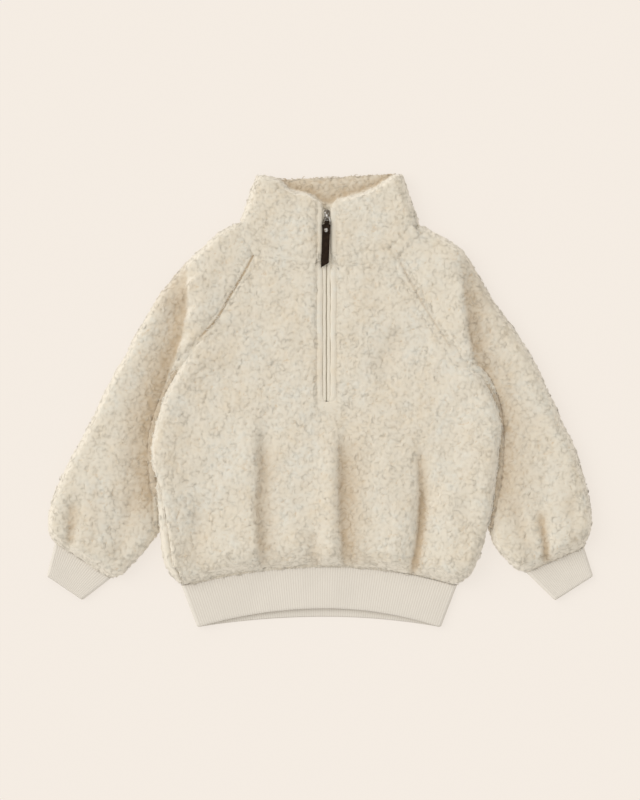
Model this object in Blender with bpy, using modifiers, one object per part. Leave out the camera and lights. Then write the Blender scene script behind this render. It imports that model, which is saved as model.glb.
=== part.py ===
"""Half-zip pullover in long-pile fleece, lying flat on its back, front up, collar towards +Y.

Every panel is a wall of fleece: an outer and an inner grid of points, closed along their edges.
The grids are worked out from the plan of the garment, its height over the table and its folds.
All tables and sizes are in millimetres, and MM turns them into Blender's metres.
Right and left in names are the wearer's, so the right sleeve lies at -X.
"""

import math
from collections import namedtuple

import bmesh
import bpy
import numpy as np

MM = 0.001

# Sizes of the cloth
FLEECE = 10.0
BACK_THICK = 9.5
LAYER_GAP = 0.5
SEAM_GAP = 0.4
BODY_TOP = 20.5
SEAM_DEPTH = 3.4
SEAM_REACH = 3.4
RIB_WALL = 3.1
BAND_TOP = 7.4
HEM_TOP = 9.6
HEM_UNDER = 3.4
UNDER_LEAD = 4.0
WALL_SHARE = 0.85
HEM_RADIUS = 5.28
HEM_RISE = 15.0
CUFF_RISE = 15.0
CUFF_SEAM_TOP = 8.6
CUFF_SEAM_UNDER = 3.8
CUFF_UNDER_RISE = 10.0
ROUND_SHARE = 0.55
CUFF_TOP = 7.0
CUFF_WALL = 2.9
RIB_RAISE = 0.6

# The body's sides lie over the sleeves, so they stand higher than the rest
SIDE_RISE = 5.5
SIDE_SPREAD = 34.0
SIDE_RADIUS = 12.0
SLEEVE_LOW = 16.5
SLEEVE_SPREAD = 18.0
CREASE_FADE = (138.0, 180.0)
PUFF = 3.0
PUFF_PLACE = 24.0
PUFF_SPREAD = 17.0
SLEEVE_PUFF = 2.4
SLEEVE_PUFF_PLACE = 26.0
SLEEVE_PUFF_SPREAD = 15.0

# The zip, and the flattened fleece beside it
ZIP_X = 7.3
SLOT_HALF = 5.0
STRIP_HALF = 11.5
STRIP_FADE = 18.0
STRIP_TOP = 19.6
STRIP_UNDER = 17.2
ZIP_BOTTOM = -1.5
ZIP_TOP = 212.0
TAPE_LOW = 15.4
TAPE_TOP = 16.8
TAPE_WIDTH = 10.4
TAPE_PART = 204.5

Row = namedtuple("Row", "left right front_mid back_mid")
BODY_ROWS = (
    Row(-203, -203, -182, -190),
    Row(-199, -199, -178, -186),
    Row(-193, -193, -172, -180),
    Row(-183, -183, -162, -170),
    Row(-165, -165, -145, -152),
    Row(-143, -143, -125, -131),
    Row(-120, -120, -105, -110),
    Row(-97, -97, -85, -89),
    Row(-74, -74, -65, -68),
    Row(-51, -52, -44, -47),
    Row(-28, -30, -23, -25),
    Row(-6, -9, -2, -4),
    Row(16, 9, 19, 18),
    Row(38, 27, 40, 40),
)
SLOT_ROW = 11

# Rows above the underarm: the share of the raglan seam's length, and the height of the row's middle
RaglanRow = namedtuple("RaglanRow", "share front_mid back_mid")
RAGLAN_ROWS = (
    RaglanRow(0.17, 60, 62),
    RaglanRow(0.34, 80, 86),
    RaglanRow(0.51, 99, 110),
    RaglanRow(0.68, 118, 134),
    RaglanRow(0.85, 136, 160),
    RaglanRow(0.97, 148.5, 179),
    RaglanRow(1.00, 152, 184),
)

# Where the body's sides lie, as (y, x), from the hem to the underarm and on along the sleeve's crease
RIGHT_SIDE = ((-203, -155), (-188, -167), (-147, -176), (-105, -180), (-64, -185), (-37, -184),
              (-15, -178), (31, -158), (38, -154), (61, -146), (98, -143), (148, -142))
LEFT_SIDE = ((-203, 153), (-192, 166), (-166, 177), (-143, 185), (-94, 194), (-56, 198),
             (-22, 200), (-7, 196), (27, 179), (69, 166), (106, 162), (148, 156))
# The right side seam turns onto the front towards the hem: (y, angle up the rounded side)
SIDE_SEAM_TURN = ((-203, 80), (-143, 78), (-107, 60), (-64, 0), (38, 0))
# How far the side is undercut, where the sleeve lies beneath: (y, share)
UNDERCUT = ((-203, 0), (-168, 0), (-138, 1), (0, 1), (30, 0), (38, 0))
UNDERCUT_RISE = 0.12
UNDERCUT_RUN = 9.0

# Plans of the seams and the sleeves' edges, as (x, y)
RIGHT_FRONT_RAGLAN = ((-154, 38), (-132, 69), (-116, 86), (-97, 118), (-82, 143), (-69, 168))
RIGHT_BACK_RAGLAN = ((-154, 38), (-137, 66), (-120, 95), (-100, 128), (-80, 160), (-60, 188))
LEFT_FRONT_RAGLAN = ((179, 27), (155, 42), (139, 65), (117, 99), (102, 125), (91, 146), (81, 165))
LEFT_BACK_RAGLAN = ((179, 27), (157, 42.5), (139, 70), (119, 108), (98, 150), (78, 188))
RIGHT_OVERARM = ((-88, 196), (-113, 183), (-131, 167), (-150, 148), (-169, 127), (-184, 103),
                 (-203, 72), (-218, 42), (-237, 8), (-252, -26), (-271, -56), (-285, -87),
                 (-297, -116), (-300, -135), (-298, -149), (-292, -155.5))
RIGHT_UNDERARM = ((-154.4, 38), (-160.5, 28), (-168.8, 8), (-174, -12), (-180.5, -37),
                  (-181.5, -64), (-177, -105), (-175, -126), (-177.5, -147), (-187, -160),
                  (-201, -174), (-212, -187), (-220, -193.5), (-230.5, -196.3))
LEFT_OVERARM = ((109, 193), (124, 185), (139, 178), (155, 167), (166, 151), (180, 127),
                (192, 106), (215, 76), (238, 38), (260, -11), (283, -60), (294, -98),
                (298, -124), (296.5, -148), (291, -161.5))
LEFT_UNDERARM = ((179.4, 27), (184.7, 18), (191.8, 2), (194.5, -12), (196.5, -22), (194.5, -56),
                 (190.5, -94), (184, -126), (185.5, -147), (200, -169), (222, -188), (226.5, -189.3))
OVERARM_AT_UNDERARM = 0.43
# Shares of the sleeve's length from the underarm to the cuff, one for each row
SLEEVE_ROWS = (0.0, 0.07, 0.16, 0.26, 0.37, 0.48, 0.59, 0.70, 0.80, 0.88, 0.94, 0.98, 1.0)
TUCKED_UNTIL = 0.66
VISIBLE_FROM = 0.82
CUFF_DIST = 250.0
NECK_DIST = 150.0
FAR = 999.0

Fold = namedtuple("Fold", "x0 y0 x1 y1 depth right_width left_width")
# Folds of the front, from their upper to their lower end: troughs are deep, ridges stand up
BODY_FOLDS = (
    Fold(-134, -105, -137, -186, -3.2, 10, 12),
    Fold(-83, -20, -82, -196, 2.8, 18, 14),
    Fold(-62, -30, -61, -196, -4.4, 7, 15),
    Fold(-7, -146, -7, -188, -3.0, 9, 9),
    Fold(13, -40, 12, -190, 2.2, 13, 9),
    Fold(26, -30, 27, -190, -4.4, 7, 16),
    Fold(78, -60, 80, -196, 2.4, 18, 20),
    Fold(110, -50, 115, -116, -4.0, 8, 10),
    Fold(115, -110, 99, -196, -4.4, 8, 10),
    Fold(146, -90, 138, -196, 1.8, 16, 16),
    Fold(-112, 30, -96, 70, 1.5, 16, 16),
    Fold(62, 20, 84, 70, -1.6, 16, 16),
)
SLEEVE_FOLDS = (
    Fold(-271, -112, -276, -160, -3.0, 8, 8),
    Fold(-238, -60, -252, -176, 1.8, 16, 16),
    Fold(-205, -100, -226, -182, -2.6, 11, 11),
    Fold(-196, 60, -176, -20, 1.2, 18, 18),
    Fold(245, -128, 247, -176, -4.0, 8, 9),
    Fold(262, -90, 270, -170, 1.6, 14, 14),
    Fold(214, -110, 232, -176, -2.4, 11, 11),
    Fold(206, 60, 190, -20, 1.2, 18, 18),
)
# Small gathers along the hem seam: (waves a millimetre, height), and where they start and end
PUCKERS = ((0.41, 0.9), (0.23, 0.7))
PUCKER_SHIFT = 9.0
PUCKER_REACH = 14.0
PUCKER_START = 5.0

# Columns of points across the panels
SIDE_STEPS = 5
RAGLAN_STEPS = (0.2, 3.7, 8.0, 13.0, 19.0)
RIGHT_COLUMNS = 14
LEFT_COLUMNS = 16
BACK_COLUMNS = 10
BAND_BACK_COLUMNS = 14
FOLD_DENSITY = 1.7
FOLD_REACH = 15.0
SLEEVE_EDGE_ANGLES = (90, 60, 30, 0, -30, -60, -90)
SLEEVE_SEAM_STEPS = (0.2, 3.7, 8.0, 14.0)
SLEEVE_BACK_STEPS = (12.0, 5.0, 0.2)
SLEEVE_TOP_COLUMNS = 7
SLEEVE_BACK_COLUMNS = 2
SLEEVE_RADIUS = 11.0
TUCK_TIP = 5.0
UNDERARM_TIP = 13.0
UNDERARM_REACH = 0.2
TUCK_RADIUS = 14.0

# The collar's top edge as (x, y), from the wearer's right end of the zip round the back
COLLAR_FRONT_RIGHT = ((2.3, 216), (-7, 224), (-33, 231), (-44, 241), (-69, 248))
COLLAR_BACK = ((-69, 248), (-44, 243), (-11, 244), (30, 246), (64, 247), (90, 249))
COLLAR_FRONT_LEFT = ((12.3, 214), (19, 220), (41, 225), (64, 234), (79, 245), (90, 249))
# Where the folds at the collar's ends begin, as shares of its front and back edges
FOLD_SHARE = 0.87
BACK_FOLD_SHARE = 0.07
CollarRow = namedtuple("CollarRow", "share front back_inner lip")
COLLAR_ROWS = (
    CollarRow(0.00, 17.4, 9.5, 0.0),
    CollarRow(0.08, 20.2, 9.5, 0.0),
    CollarRow(0.50, 21.4, 9.5, 0.0),
    CollarRow(0.90, 20.4, 9.0, 0.0),
    CollarRow(1.00, 16.6, 6.6, 2.0),
)

# Hem band and cuffs: fold lines from the seam to the open end, as (x, y)
BAND_RIGHT = ((-153.5, -203.4), (-136, -249))
BAND_LEFT = ((151.5, -203.4), (134, -249))
BAND_FRONT_MID = (-182.4, -229.0)
BAND_BACK_MID = (-190.4, -238.0)
BAND_RIBS = 106
CUFF_BACK_COLUMNS = 4
Cuff = namedtuple("Cuff", "outer inner end_outer end_inner ribs")
CUFFS = {
    "cuff_right": Cuff((-292, -155.5), (-230.5, -196.3), (-301, -193), (-261, -220), 24),
    "cuff_left": Cuff((291, -161.5), (226.5, -189.3), (301, -193), (258, -220), 24),
}

# Zip pull
SLIDER_X = 7.5
PLATE_Y = (197.0, 209.6)
PLATE_WIDTH = 6.4
OUTER_PLATE_Z = (17.1, 18.3)
INNER_PLATE_Z = (11.9, 13.0)
POST_Y = (206.9, 209.3)
POST_WIDTH = 1.8
COIL_Z = (13.3, 15.1)
COIL_WIDTH = 5.0
BRIDGE_Y = (198.2, 207.6)
BRIDGE_WIDTH = 2.4
BRIDGE_TOP = 21.8
BRIDGE_BAR = 1.0
LINK_AXIS = (201.3, 19.6)
LINK_BAR = (194.8, 21.3)
LINK_TOP_HALF = 2.3
LINK_LOW_HALF = 4.4
WIRE_RADIUS = 0.6
STRAP_X = 6.8
STRAP_END_X = 5.4
STRAP_TOP_HALF = 4.7
STRAP_HALF = 4.35
STRAP_SHOULDER = 193.4
STRAP_NECK = 190.5
STRAP_LONG_END = 145.6
STRAP_SHORT_END = 151.0
STRAP_THICK = 2.6
EYE_RADIUS = 2.15
EYE_HOLE = 1.0
EYE_HALF = 2.6
RIVET_Y = 186.8
RIVET_RADIUS = 2.25
RIVET_SHANK = 0.9
RIVET_CLEAR = 0.3

Look = namedtuple("Look", "color roughness metallic")
LOOKS = {
    "fleece": Look((0.75, 0.69, 0.58), 0.95, 0.0),
    "rib": Look((0.72, 0.67, 0.59), 0.9, 0.0),
    "tape": Look((0.74, 0.69, 0.60), 0.85, 0.0),
    "nickel": Look((0.62, 0.60, 0.57), 0.3, 1.0),
    "leather": Look((0.035, 0.022, 0.016), 0.55, 0.0),
}


def hermite(knots, values, at):
    """A smooth curve through a table's values, read at the given places."""
    knots = np.asarray(knots, float)
    values = np.asarray(values, float)
    at = np.clip(np.asarray(at, float), knots[0], knots[-1])
    slopes = np.gradient(values, knots)
    i = np.clip(np.searchsorted(knots, at) - 1, 0, len(knots) - 2)
    span = knots[i + 1] - knots[i]
    t = (at - knots[i]) / span
    return ((1 + 2 * t) * (1 - t) ** 2 * values[i] + t * (1 - t) ** 2 * span * slopes[i]
            + t * t * (3 - 2 * t) * values[i + 1] - t * t * (1 - t) * span * slopes[i + 1])


def from_table(table, at):
    """A table of (place, value) pairs, read smoothly."""
    places, values = zip(*table)
    return hermite(places, values, at)


def along(points, share):
    """The point a share of the way along a smooth plan curve."""
    points = np.asarray(points, float)
    steps = np.linalg.norm(np.diff(points, axis=0), axis=1)
    knots = np.concatenate([[0], np.cumsum(steps)]) / steps.sum()
    return np.stack([hermite(knots, points[:, 0], share), hermite(knots, points[:, 1], share)], axis=-1)


def ease(low, high, at):
    """0 below low, 1 above high, smooth between."""
    t = np.clip((np.asarray(at, float) - low) / (high - low), 0, 1)
    return t * t * (3 - 2 * t)


def unit(vector):
    return vector / np.linalg.norm(vector)


def fold_height(folds, x, y):
    """What the folds add to the height at a place."""
    total = np.zeros(np.broadcast(x, y).shape)
    for fold in folds:
        start = np.array([fold.x0, fold.y0])
        run = np.array([fold.x1, fold.y1]) - start
        length = np.hypot(*run)
        run = run / length
        s = (x - start[0]) * run[0] + (y - start[1]) * run[1]
        across = (x - start[0]) * -run[1] + (y - start[1]) * run[0]
        width = np.where(across < 0, fold.right_width, fold.left_width)
        reach = min(28.0, 0.35 * length)
        fade = ease(-reach, reach, s) * ease(-6, 6, length - s)
        total = total + fold.depth * np.exp(-((across / width) ** 2)) * fade
    return total


def crease_share(y):
    """1 where the sleeve hangs below the body's level, 0 near the neck."""
    return 1 - ease(*CREASE_FADE, y)


def inside_right(x, y):
    return x - from_table(RIGHT_SIDE, y)


def inside_left(x, y):
    return from_table(LEFT_SIDE, y) - x


def body_top(x, y, hem_distance):
    """Height of the body's upper face over the table, without seams."""
    rise = np.exp(-((inside_right(x, y) / SIDE_SPREAD) ** 2))
    rise = rise + np.exp(-((inside_left(x, y) / SIDE_SPREAD) ** 2))
    puff = PUFF * np.exp(-(((hem_distance - PUFF_PLACE) / PUFF_SPREAD) ** 2))
    pucker = sum(size * np.sin(rate * (x + PUCKER_SHIFT)) for rate, size in PUCKERS)
    pucker = pucker * np.exp(-((hem_distance / PUCKER_REACH) ** 2)) * ease(0, PUCKER_START, hem_distance)
    return BODY_TOP + SIDE_RISE * rise * crease_share(y) + puff + pucker + fold_height(BODY_FOLDS, x, y)


def sleeve_top(x, y, inside):
    """Height of a sleeve's upper face: the body's level inside the crease, lower outside it."""
    level = BODY_TOP + SIDE_RISE * np.exp(-((inside / SIDE_SPREAD) ** 2))
    low = SLEEVE_LOW + (BODY_TOP - SLEEVE_LOW) * (1 - np.exp(-np.maximum(-inside, 0) / SLEEVE_SPREAD))
    step = ease(-7, 2, inside)
    share = crease_share(y)
    height = share * (low + (level - low) * step) + (1 - share) * BODY_TOP
    return height + fold_height(SLEEVE_FOLDS, x, y)


def groove(distance):
    """How deep the pile dips at a seam."""
    return SEAM_DEPTH * np.exp(-((np.maximum(distance, 0) / SEAM_REACH) ** 2))


def rise_from(edge, height, distance, reach):
    """A round rise from an edge's height to the full height."""
    return edge + (height - edge) * np.sin(0.5 * math.pi * np.clip(distance / reach, 0, 1))


def rounded_side(angles, height, low, high, radius, run, tip, straight):
    """Outer and inner (inset, z) of a folded edge, from the underside at -90 to the top at 90.

    The inner faces lie at low and high, and the outer face turns at the tip's height.
    """
    angles = np.radians(np.asarray(angles, float))
    rising, bend = np.sin(angles), 1 - np.cos(angles)
    share = -angles / (0.5 * math.pi)
    upper = angles >= 0
    reach = np.where(upper, radius, run)
    inset = reach * bend
    z = np.where(upper, tip + (height - tip) * rising, tip * (1 + rising))
    inset = np.where(upper, inset, inset + straight * (run * share - inset))
    z = np.where(upper, z, z + straight * (tip * (1 - share) - z))
    wall = WALL_SHARE * min(low, height - high)
    clear = min(0.2, 0.4 * (high - low))
    inner_tip = min(max(tip, low + clear), high - clear)
    inner_inset = wall + np.maximum(reach - wall, 0.5) * bend
    inner_z = inner_tip + np.where(upper, high - inner_tip, inner_tip - low) * rising
    return np.stack([inset, z], axis=1), np.stack([inner_inset, inner_z], axis=1)


def seam_shift(profile, inner, end, along_edge):
    """Moves a folded edge's end point half the seam's gap back along the edge."""
    step = profile[end + along_edge] - profile[end]
    shift = unit(step) * 0.5 * SEAM_GAP
    profile[end] += shift
    inner[end] += shift


class BodyRow:
    """One row of points across the body, from the wearer's right side to the left."""

    def __init__(self, left_y, right_y, front_mid, back_mid, share):
        self.share = share
        self.raglan = share is not None
        self.ys = (left_y, right_y)
        self.mids = (front_mid, back_mid)
        if self.raglan:
            self.front_ends = (along(RIGHT_FRONT_RAGLAN, share), along(LEFT_FRONT_RAGLAN, share))
            self.back_ends = (along(RIGHT_BACK_RAGLAN, share), along(LEFT_BACK_RAGLAN, share))
        else:
            right = np.array([from_table(RIGHT_SIDE, left_y), left_y])
            left = np.array([from_table(LEFT_SIDE, right_y), right_y])
            self.front_ends = self.back_ends = (right, left)

    def y_at(self, x, layer, start, end):
        """The row's curve between its two rounded sides."""
        ends = self.front_ends if layer == 0 else self.back_ends
        mid = self.mids[layer]
        right_bulge = (ends[0][1] - mid) * np.clip((ZIP_X - x) / (ZIP_X - start), 0, 1) ** 2
        left_bulge = (ends[1][1] - mid) * np.clip((x - ZIP_X) / (end - ZIP_X), 0, 1) ** 2
        return mid + np.where(x < ZIP_X, right_bulge, left_bulge)


def body_rows():
    rows = [BodyRow(row.left, row.right, row.front_mid, row.back_mid, None) for row in BODY_ROWS]
    return rows + [BodyRow(0, 0, row.front_mid, row.back_mid, row.share) for row in RAGLAN_ROWS]


def spaced(low, high, count, centres):
    """Shares of a width, closer together beside each fold."""
    fine = np.linspace(low, high, 400)
    density = 1 + sum(FOLD_DENSITY * np.exp(-(((fine - centre) / FOLD_REACH) ** 2)) for centre in centres)
    summed = np.concatenate([[0], np.cumsum(0.5 * (density[1:] + density[:-1]))])
    places = np.interp(np.linspace(0, summed[-1], count + 2)[1:-1], summed, fine)
    return (places - low) / (high - low)


def hem_curve(x):
    """The front's hem seam over the body's width."""
    row = body_rows()[0]
    start = row.front_ends[0][0] + HEM_RADIUS
    end = row.front_ends[1][0] - HEM_RADIUS
    return row.y_at(x, 0, start, end)


def back_under(x, y):
    """Height of the back panel's inner face: thin at the hem, where the band folds over it."""
    return HEM_UNDER + (BACK_THICK - HEM_UNDER) * ease(2, 15, y - hem_curve(x))


def front_under(x, y, top):
    """Height of the front panel's inner face: just over the back, or higher under a ridge."""
    return np.maximum(top - FLEECE, back_under(x, y + UNDER_LEAD) + LAYER_GAP)


def side_points(row, side, layer):
    """Outer and inner points of a row's rounded side: the right for 0, the left for 1."""
    end = row.front_ends[side]
    x, y = end
    inward = 1 if side == 0 else -1
    distance = float(y - hem_curve(x))
    height = float(body_top(x + inward * SIDE_RADIUS, y, distance))
    height = float(rise_from(HEM_TOP, height, distance, HEM_RISE))
    radius = min(SIDE_RADIUS, ROUND_SHARE * height)
    low = float(back_under(x + inward * radius, y))
    high = float(front_under(x + inward * radius, y, height))
    cut = float(np.clip(from_table(UNDERCUT, y), 0, 1))
    turn = float(from_table(SIDE_SEAM_TURN, y)) if side == 0 else 0.0
    if layer == 0:
        angles = np.linspace(turn, 90, SIDE_STEPS)
    else:
        angles = np.linspace(turn, -90, SIDE_STEPS)
    tip = height * (0.5 + UNDERCUT_RISE * cut)
    profile, inner = rounded_side(angles, height, low, high, radius, radius + UNDERCUT_RUN * cut,
                                  tip, 0.6 * cut)
    seam_shift(profile, inner, 0, 1)
    return tuple(np.stack([x + inward * pairs[:, 0], np.full(len(pairs), y), pairs[:, 1]], axis=1)
                 for pairs in (profile, inner))


def raglan_side(row, side, layer):
    """Plan x of a row's first columns beside the raglan seam, and their distances from it."""
    ends = row.front_ends if layer == 0 else row.back_ends
    inward = 1 if side == 0 else -1
    steps = np.array(RAGLAN_STEPS)
    return ends[side][0] + inward * steps, steps


def strip_share(x, y):
    """1 on the flattened fleece beside the zip."""
    return ease(STRIP_FADE, STRIP_HALF, np.abs(x - ZIP_X)) * ease(-16, -6, y)


def front_grids():
    """Outer and inner grids of the front panel, and the columns at the slot's edges."""
    outer, inner = [], []
    neck = body_rows()[-1]
    strips = np.array([ZIP_X - STRIP_FADE, ZIP_X - STRIP_HALF, ZIP_X - SLOT_HALF,
                       ZIP_X + SLOT_HALF, ZIP_X + STRIP_HALF, ZIP_X + STRIP_FADE])
    right_shares = spaced(-167, strips[0], RIGHT_COLUMNS, (-136, -73, -58))
    left_shares = spaced(strips[-1], 172, LEFT_COLUMNS, (34, 107, 118))
    for row in body_rows():
        if row.raglan:
            right_x, right_e = raglan_side(row, 0, 0)
            left_x, left_e = raglan_side(row, 1, 0)
        else:
            right_out, right_in = side_points(row, 0, 0)
            left_out, left_in = side_points(row, 1, 0)
            right_x, left_x = right_out[:, 0], left_out[:, 0]
        start, end = right_x[-1], left_x[-1]
        xs = np.concatenate([
            right_x,
            start + right_shares * (strips[0] - start),
            strips,
            strips[-1] + left_shares * (end - strips[-1]),
            left_x[::-1],
        ])
        if row.raglan:
            ys = row.y_at(xs, 0, row.front_ends[0][0], row.front_ends[1][0])
            seam = np.full(len(xs), FAR)
            seam[:SIDE_STEPS] = right_e
            seam[-SIDE_STEPS:] = left_e[::-1]
        else:
            ys = row.y_at(xs, 0, start, end)
            seam = np.full(len(xs), FAR)
        distance = ys - hem_curve(xs)
        tops = body_top(xs, ys, distance)
        tops = rise_from(HEM_TOP, tops, distance, HEM_RISE)
        share = strip_share(xs, ys)
        tops = tops + (STRIP_TOP - tops) * share
        if row.raglan:
            neck_y = neck.y_at(xs, 0, neck.front_ends[0][0], neck.front_ends[1][0])
            tops = tops - np.maximum(groove(seam), groove(neck_y - ys))
        unders = front_under(xs, ys, tops)
        channel = (np.abs(xs - ZIP_X) < STRIP_HALF + 0.1) & (ys > ZIP_BOTTOM - 1)
        unders = np.where(channel, STRIP_UNDER, unders)
        tops = np.where(channel, np.maximum(tops, STRIP_UNDER + 1.2), tops)
        out = np.stack([xs, ys, tops], axis=1)
        ins = np.stack([xs, ys, unders], axis=1)
        if not row.raglan:
            out[:SIDE_STEPS], ins[:SIDE_STEPS] = right_out, right_in
            out[-SIDE_STEPS:], ins[-SIDE_STEPS:] = left_out[::-1], left_in[::-1]
        outer.append(out)
        inner.append(ins)
    slot = SIDE_STEPS + RIGHT_COLUMNS + 2
    return np.array(outer), np.array(inner), slot


def back_grids():
    """Outer and inner grids of the back panel, whose outer face is the flat underside."""
    outer, inner = [], []
    shares = np.linspace(0, 1, BACK_COLUMNS + 2)[1:-1]
    for row in body_rows():
        if row.raglan:
            right_x, _ = raglan_side(row, 0, 1)
            left_x, _ = raglan_side(row, 1, 1)
        else:
            right_out, right_in = side_points(row, 0, 1)
            left_out, left_in = side_points(row, 1, 1)
            right_x, left_x = right_out[:, 0], left_out[:, 0]
        start, end = right_x[-1], left_x[-1]
        xs = np.concatenate([right_x, start + shares * (end - start), left_x[::-1]])
        if row.raglan:
            ys = row.y_at(xs, 1, row.back_ends[0][0], row.back_ends[1][0])
        else:
            ys = row.y_at(xs, 1, start, end)
        out = np.stack([xs, ys, np.zeros(len(xs))], axis=1)
        ins = np.stack([xs, ys, back_under(xs, ys)], axis=1)
        if not row.raglan:
            out[:SIDE_STEPS], ins[:SIDE_STEPS] = right_out, right_in
            out[-SIDE_STEPS:], ins[-SIDE_STEPS:] = left_out[::-1], left_in[::-1]
        outer.append(out)
        inner.append(ins)
    return np.array(outer), np.array(inner)


class SleevePlan:
    """Where one sleeve's rows run: its overarm edge, its seams and its underarm edge."""

    def __init__(self, overarm, underarm, front_raglan, back_raglan, inside):
        self.overarm = overarm
        self.underarm = underarm
        self.front_raglan = front_raglan
        self.back_raglan = back_raglan
        self.inside = inside

    def rows(self):
        """Each row's overarm point, front and back end, whether it meets the raglan, and its share."""
        found = []
        for share in [row.share for row in reversed(RAGLAN_ROWS)]:
            edge = along(self.overarm, OVERARM_AT_UNDERARM * (1 - share))
            found.append((edge, along(self.front_raglan, share), along(self.back_raglan, share), True, share))
        for share in SLEEVE_ROWS:
            edge = along(self.overarm, OVERARM_AT_UNDERARM + (1 - OVERARM_AT_UNDERARM) * share)
            end = along(self.underarm, share)
            found.append((edge, end, end, False, share))
        return found

    def row_points(self, edge, front, back, raglan, share):
        """Outer and inner points of one row, from its front seam over the overarm edge to its back seam."""
        front_run, back_run = front - edge, back - edge
        front_length, back_length = np.hypot(*front_run), np.hypot(*back_run)
        front_run, back_run = front_run / front_length, back_run / back_length
        cuff = (1 - share) * CUFF_DIST if not raglan else FAR
        neck = (1 - share) * NECK_DIST if raglan else FAR

        def top_at(plan):
            height = sleeve_top(plan[..., 0], plan[..., 1], self.inside(plan[..., 0], plan[..., 1]))
            height = height + SLEEVE_PUFF * math.exp(-(((cuff - SLEEVE_PUFF_PLACE) / SLEEVE_PUFF_SPREAD) ** 2))
            return rise_from(CUFF_SEAM_TOP, height, cuff, CUFF_RISE) - groove(neck)

        under = float(rise_from(CUFF_SEAM_UNDER, BACK_THICK, cuff, CUFF_UNDER_RISE))
        edge_height = float(top_at(edge + SLEEVE_RADIUS * front_run))
        radius = min(SLEEVE_RADIUS, ROUND_SHARE * edge_height)
        high = max(edge_height - FLEECE, under + LAYER_GAP)
        edge_out, edge_in = rounded_side(SLEEVE_EDGE_ANGLES, edge_height, under, high, radius, radius,
                                         0.5 * edge_height, 0.0)
        lean = 0.5 * (1 + np.sin(np.radians(np.array(SLEEVE_EDGE_ANGLES, float))))
        runs = lean[:, None] * front_run + (1 - lean[:, None]) * back_run
        runs = runs / np.linalg.norm(runs, axis=1, keepdims=True)
        edge_out = np.column_stack([edge + runs * edge_out[:, :1], edge_out[:, 1]])
        edge_in = np.column_stack([edge + runs * edge_in[:, :1], edge_in[:, 1]])

        if raglan:
            steps = np.array(SLEEVE_SEAM_STEPS)
            plan = front - front_run * steps[:, None]
            tops = top_at(plan) - groove(steps)
            front_out = np.column_stack([plan, tops])
            front_in = np.column_stack([plan, np.maximum(tops - FLEECE, under + LAYER_GAP)])
            steps = np.array(SLEEVE_BACK_STEPS)
            plan = back - back_run * steps[:, None]
            back_out = np.column_stack([plan, np.zeros(len(steps))])
            back_in = np.column_stack([plan, np.full(len(steps), under)])
        else:
            shown = float(ease(TUCKED_UNTIL, VISIBLE_FROM, share))
            reach = TUCK_RADIUS + shown * (SLEEVE_RADIUS - TUCK_RADIUS)
            seam_height = float(top_at(front - front_run * reach))
            reach = min(reach, 0.9 * seam_height)
            tip = TUCK_TIP + (UNDERARM_TIP - TUCK_TIP) * (1 - float(ease(0, UNDERARM_REACH, share)))
            tip = tip + shown * (0.5 * seam_height - tip)
            high = max(seam_height - FLEECE, under + LAYER_GAP)
            front_pairs, front_inner = rounded_side((0, 30, 60, 90), seam_height, under, high, reach,
                                                    reach, tip, 0.0)
            back_pairs, back_inner = rounded_side((-90, -45, 0), seam_height, under, high, reach,
                                                  0.7 * reach, tip, 0.0)
            seam_shift(front_pairs, front_inner, 0, 1)
            seam_shift(back_pairs, back_inner, 2, -1)
            front_out = np.column_stack([front - front_run * front_pairs[:, :1], front_pairs[:, 1]])
            front_in = np.column_stack([front - front_run * front_inner[:, :1], front_inner[:, 1]])
            back_out = np.column_stack([back - back_run * back_pairs[:, :1], back_pairs[:, 1]])
            back_in = np.column_stack([back - back_run * back_inner[:, :1], back_inner[:, 1]])

        shares = np.linspace(0, 1, SLEEVE_TOP_COLUMNS + 2)[1:-1, None]
        plan = front_out[-1, :2] + shares * (edge_out[0, :2] - front_out[-1, :2])
        tops = top_at(plan)
        top_out = np.column_stack([plan, tops])
        top_in = np.column_stack([plan, np.maximum(tops - FLEECE, under + LAYER_GAP)])
        shares = np.linspace(0, 1, SLEEVE_BACK_COLUMNS + 2)[1:-1, None]
        plan = edge_out[-1, :2] + shares * (back_out[0, :2] - edge_out[-1, :2])
        under_out = np.column_stack([plan, np.zeros(len(plan))])
        under_in = np.column_stack([plan, np.full(len(plan), under)])
        return (np.concatenate([front_out, top_out, edge_out, under_out, back_out]),
                np.concatenate([front_in, top_in, edge_in, under_in, back_in]))

    def grids(self):
        pairs = [self.row_points(*row) for row in self.rows()]
        return np.array([pair[0] for pair in pairs]), np.array([pair[1] for pair in pairs])


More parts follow.
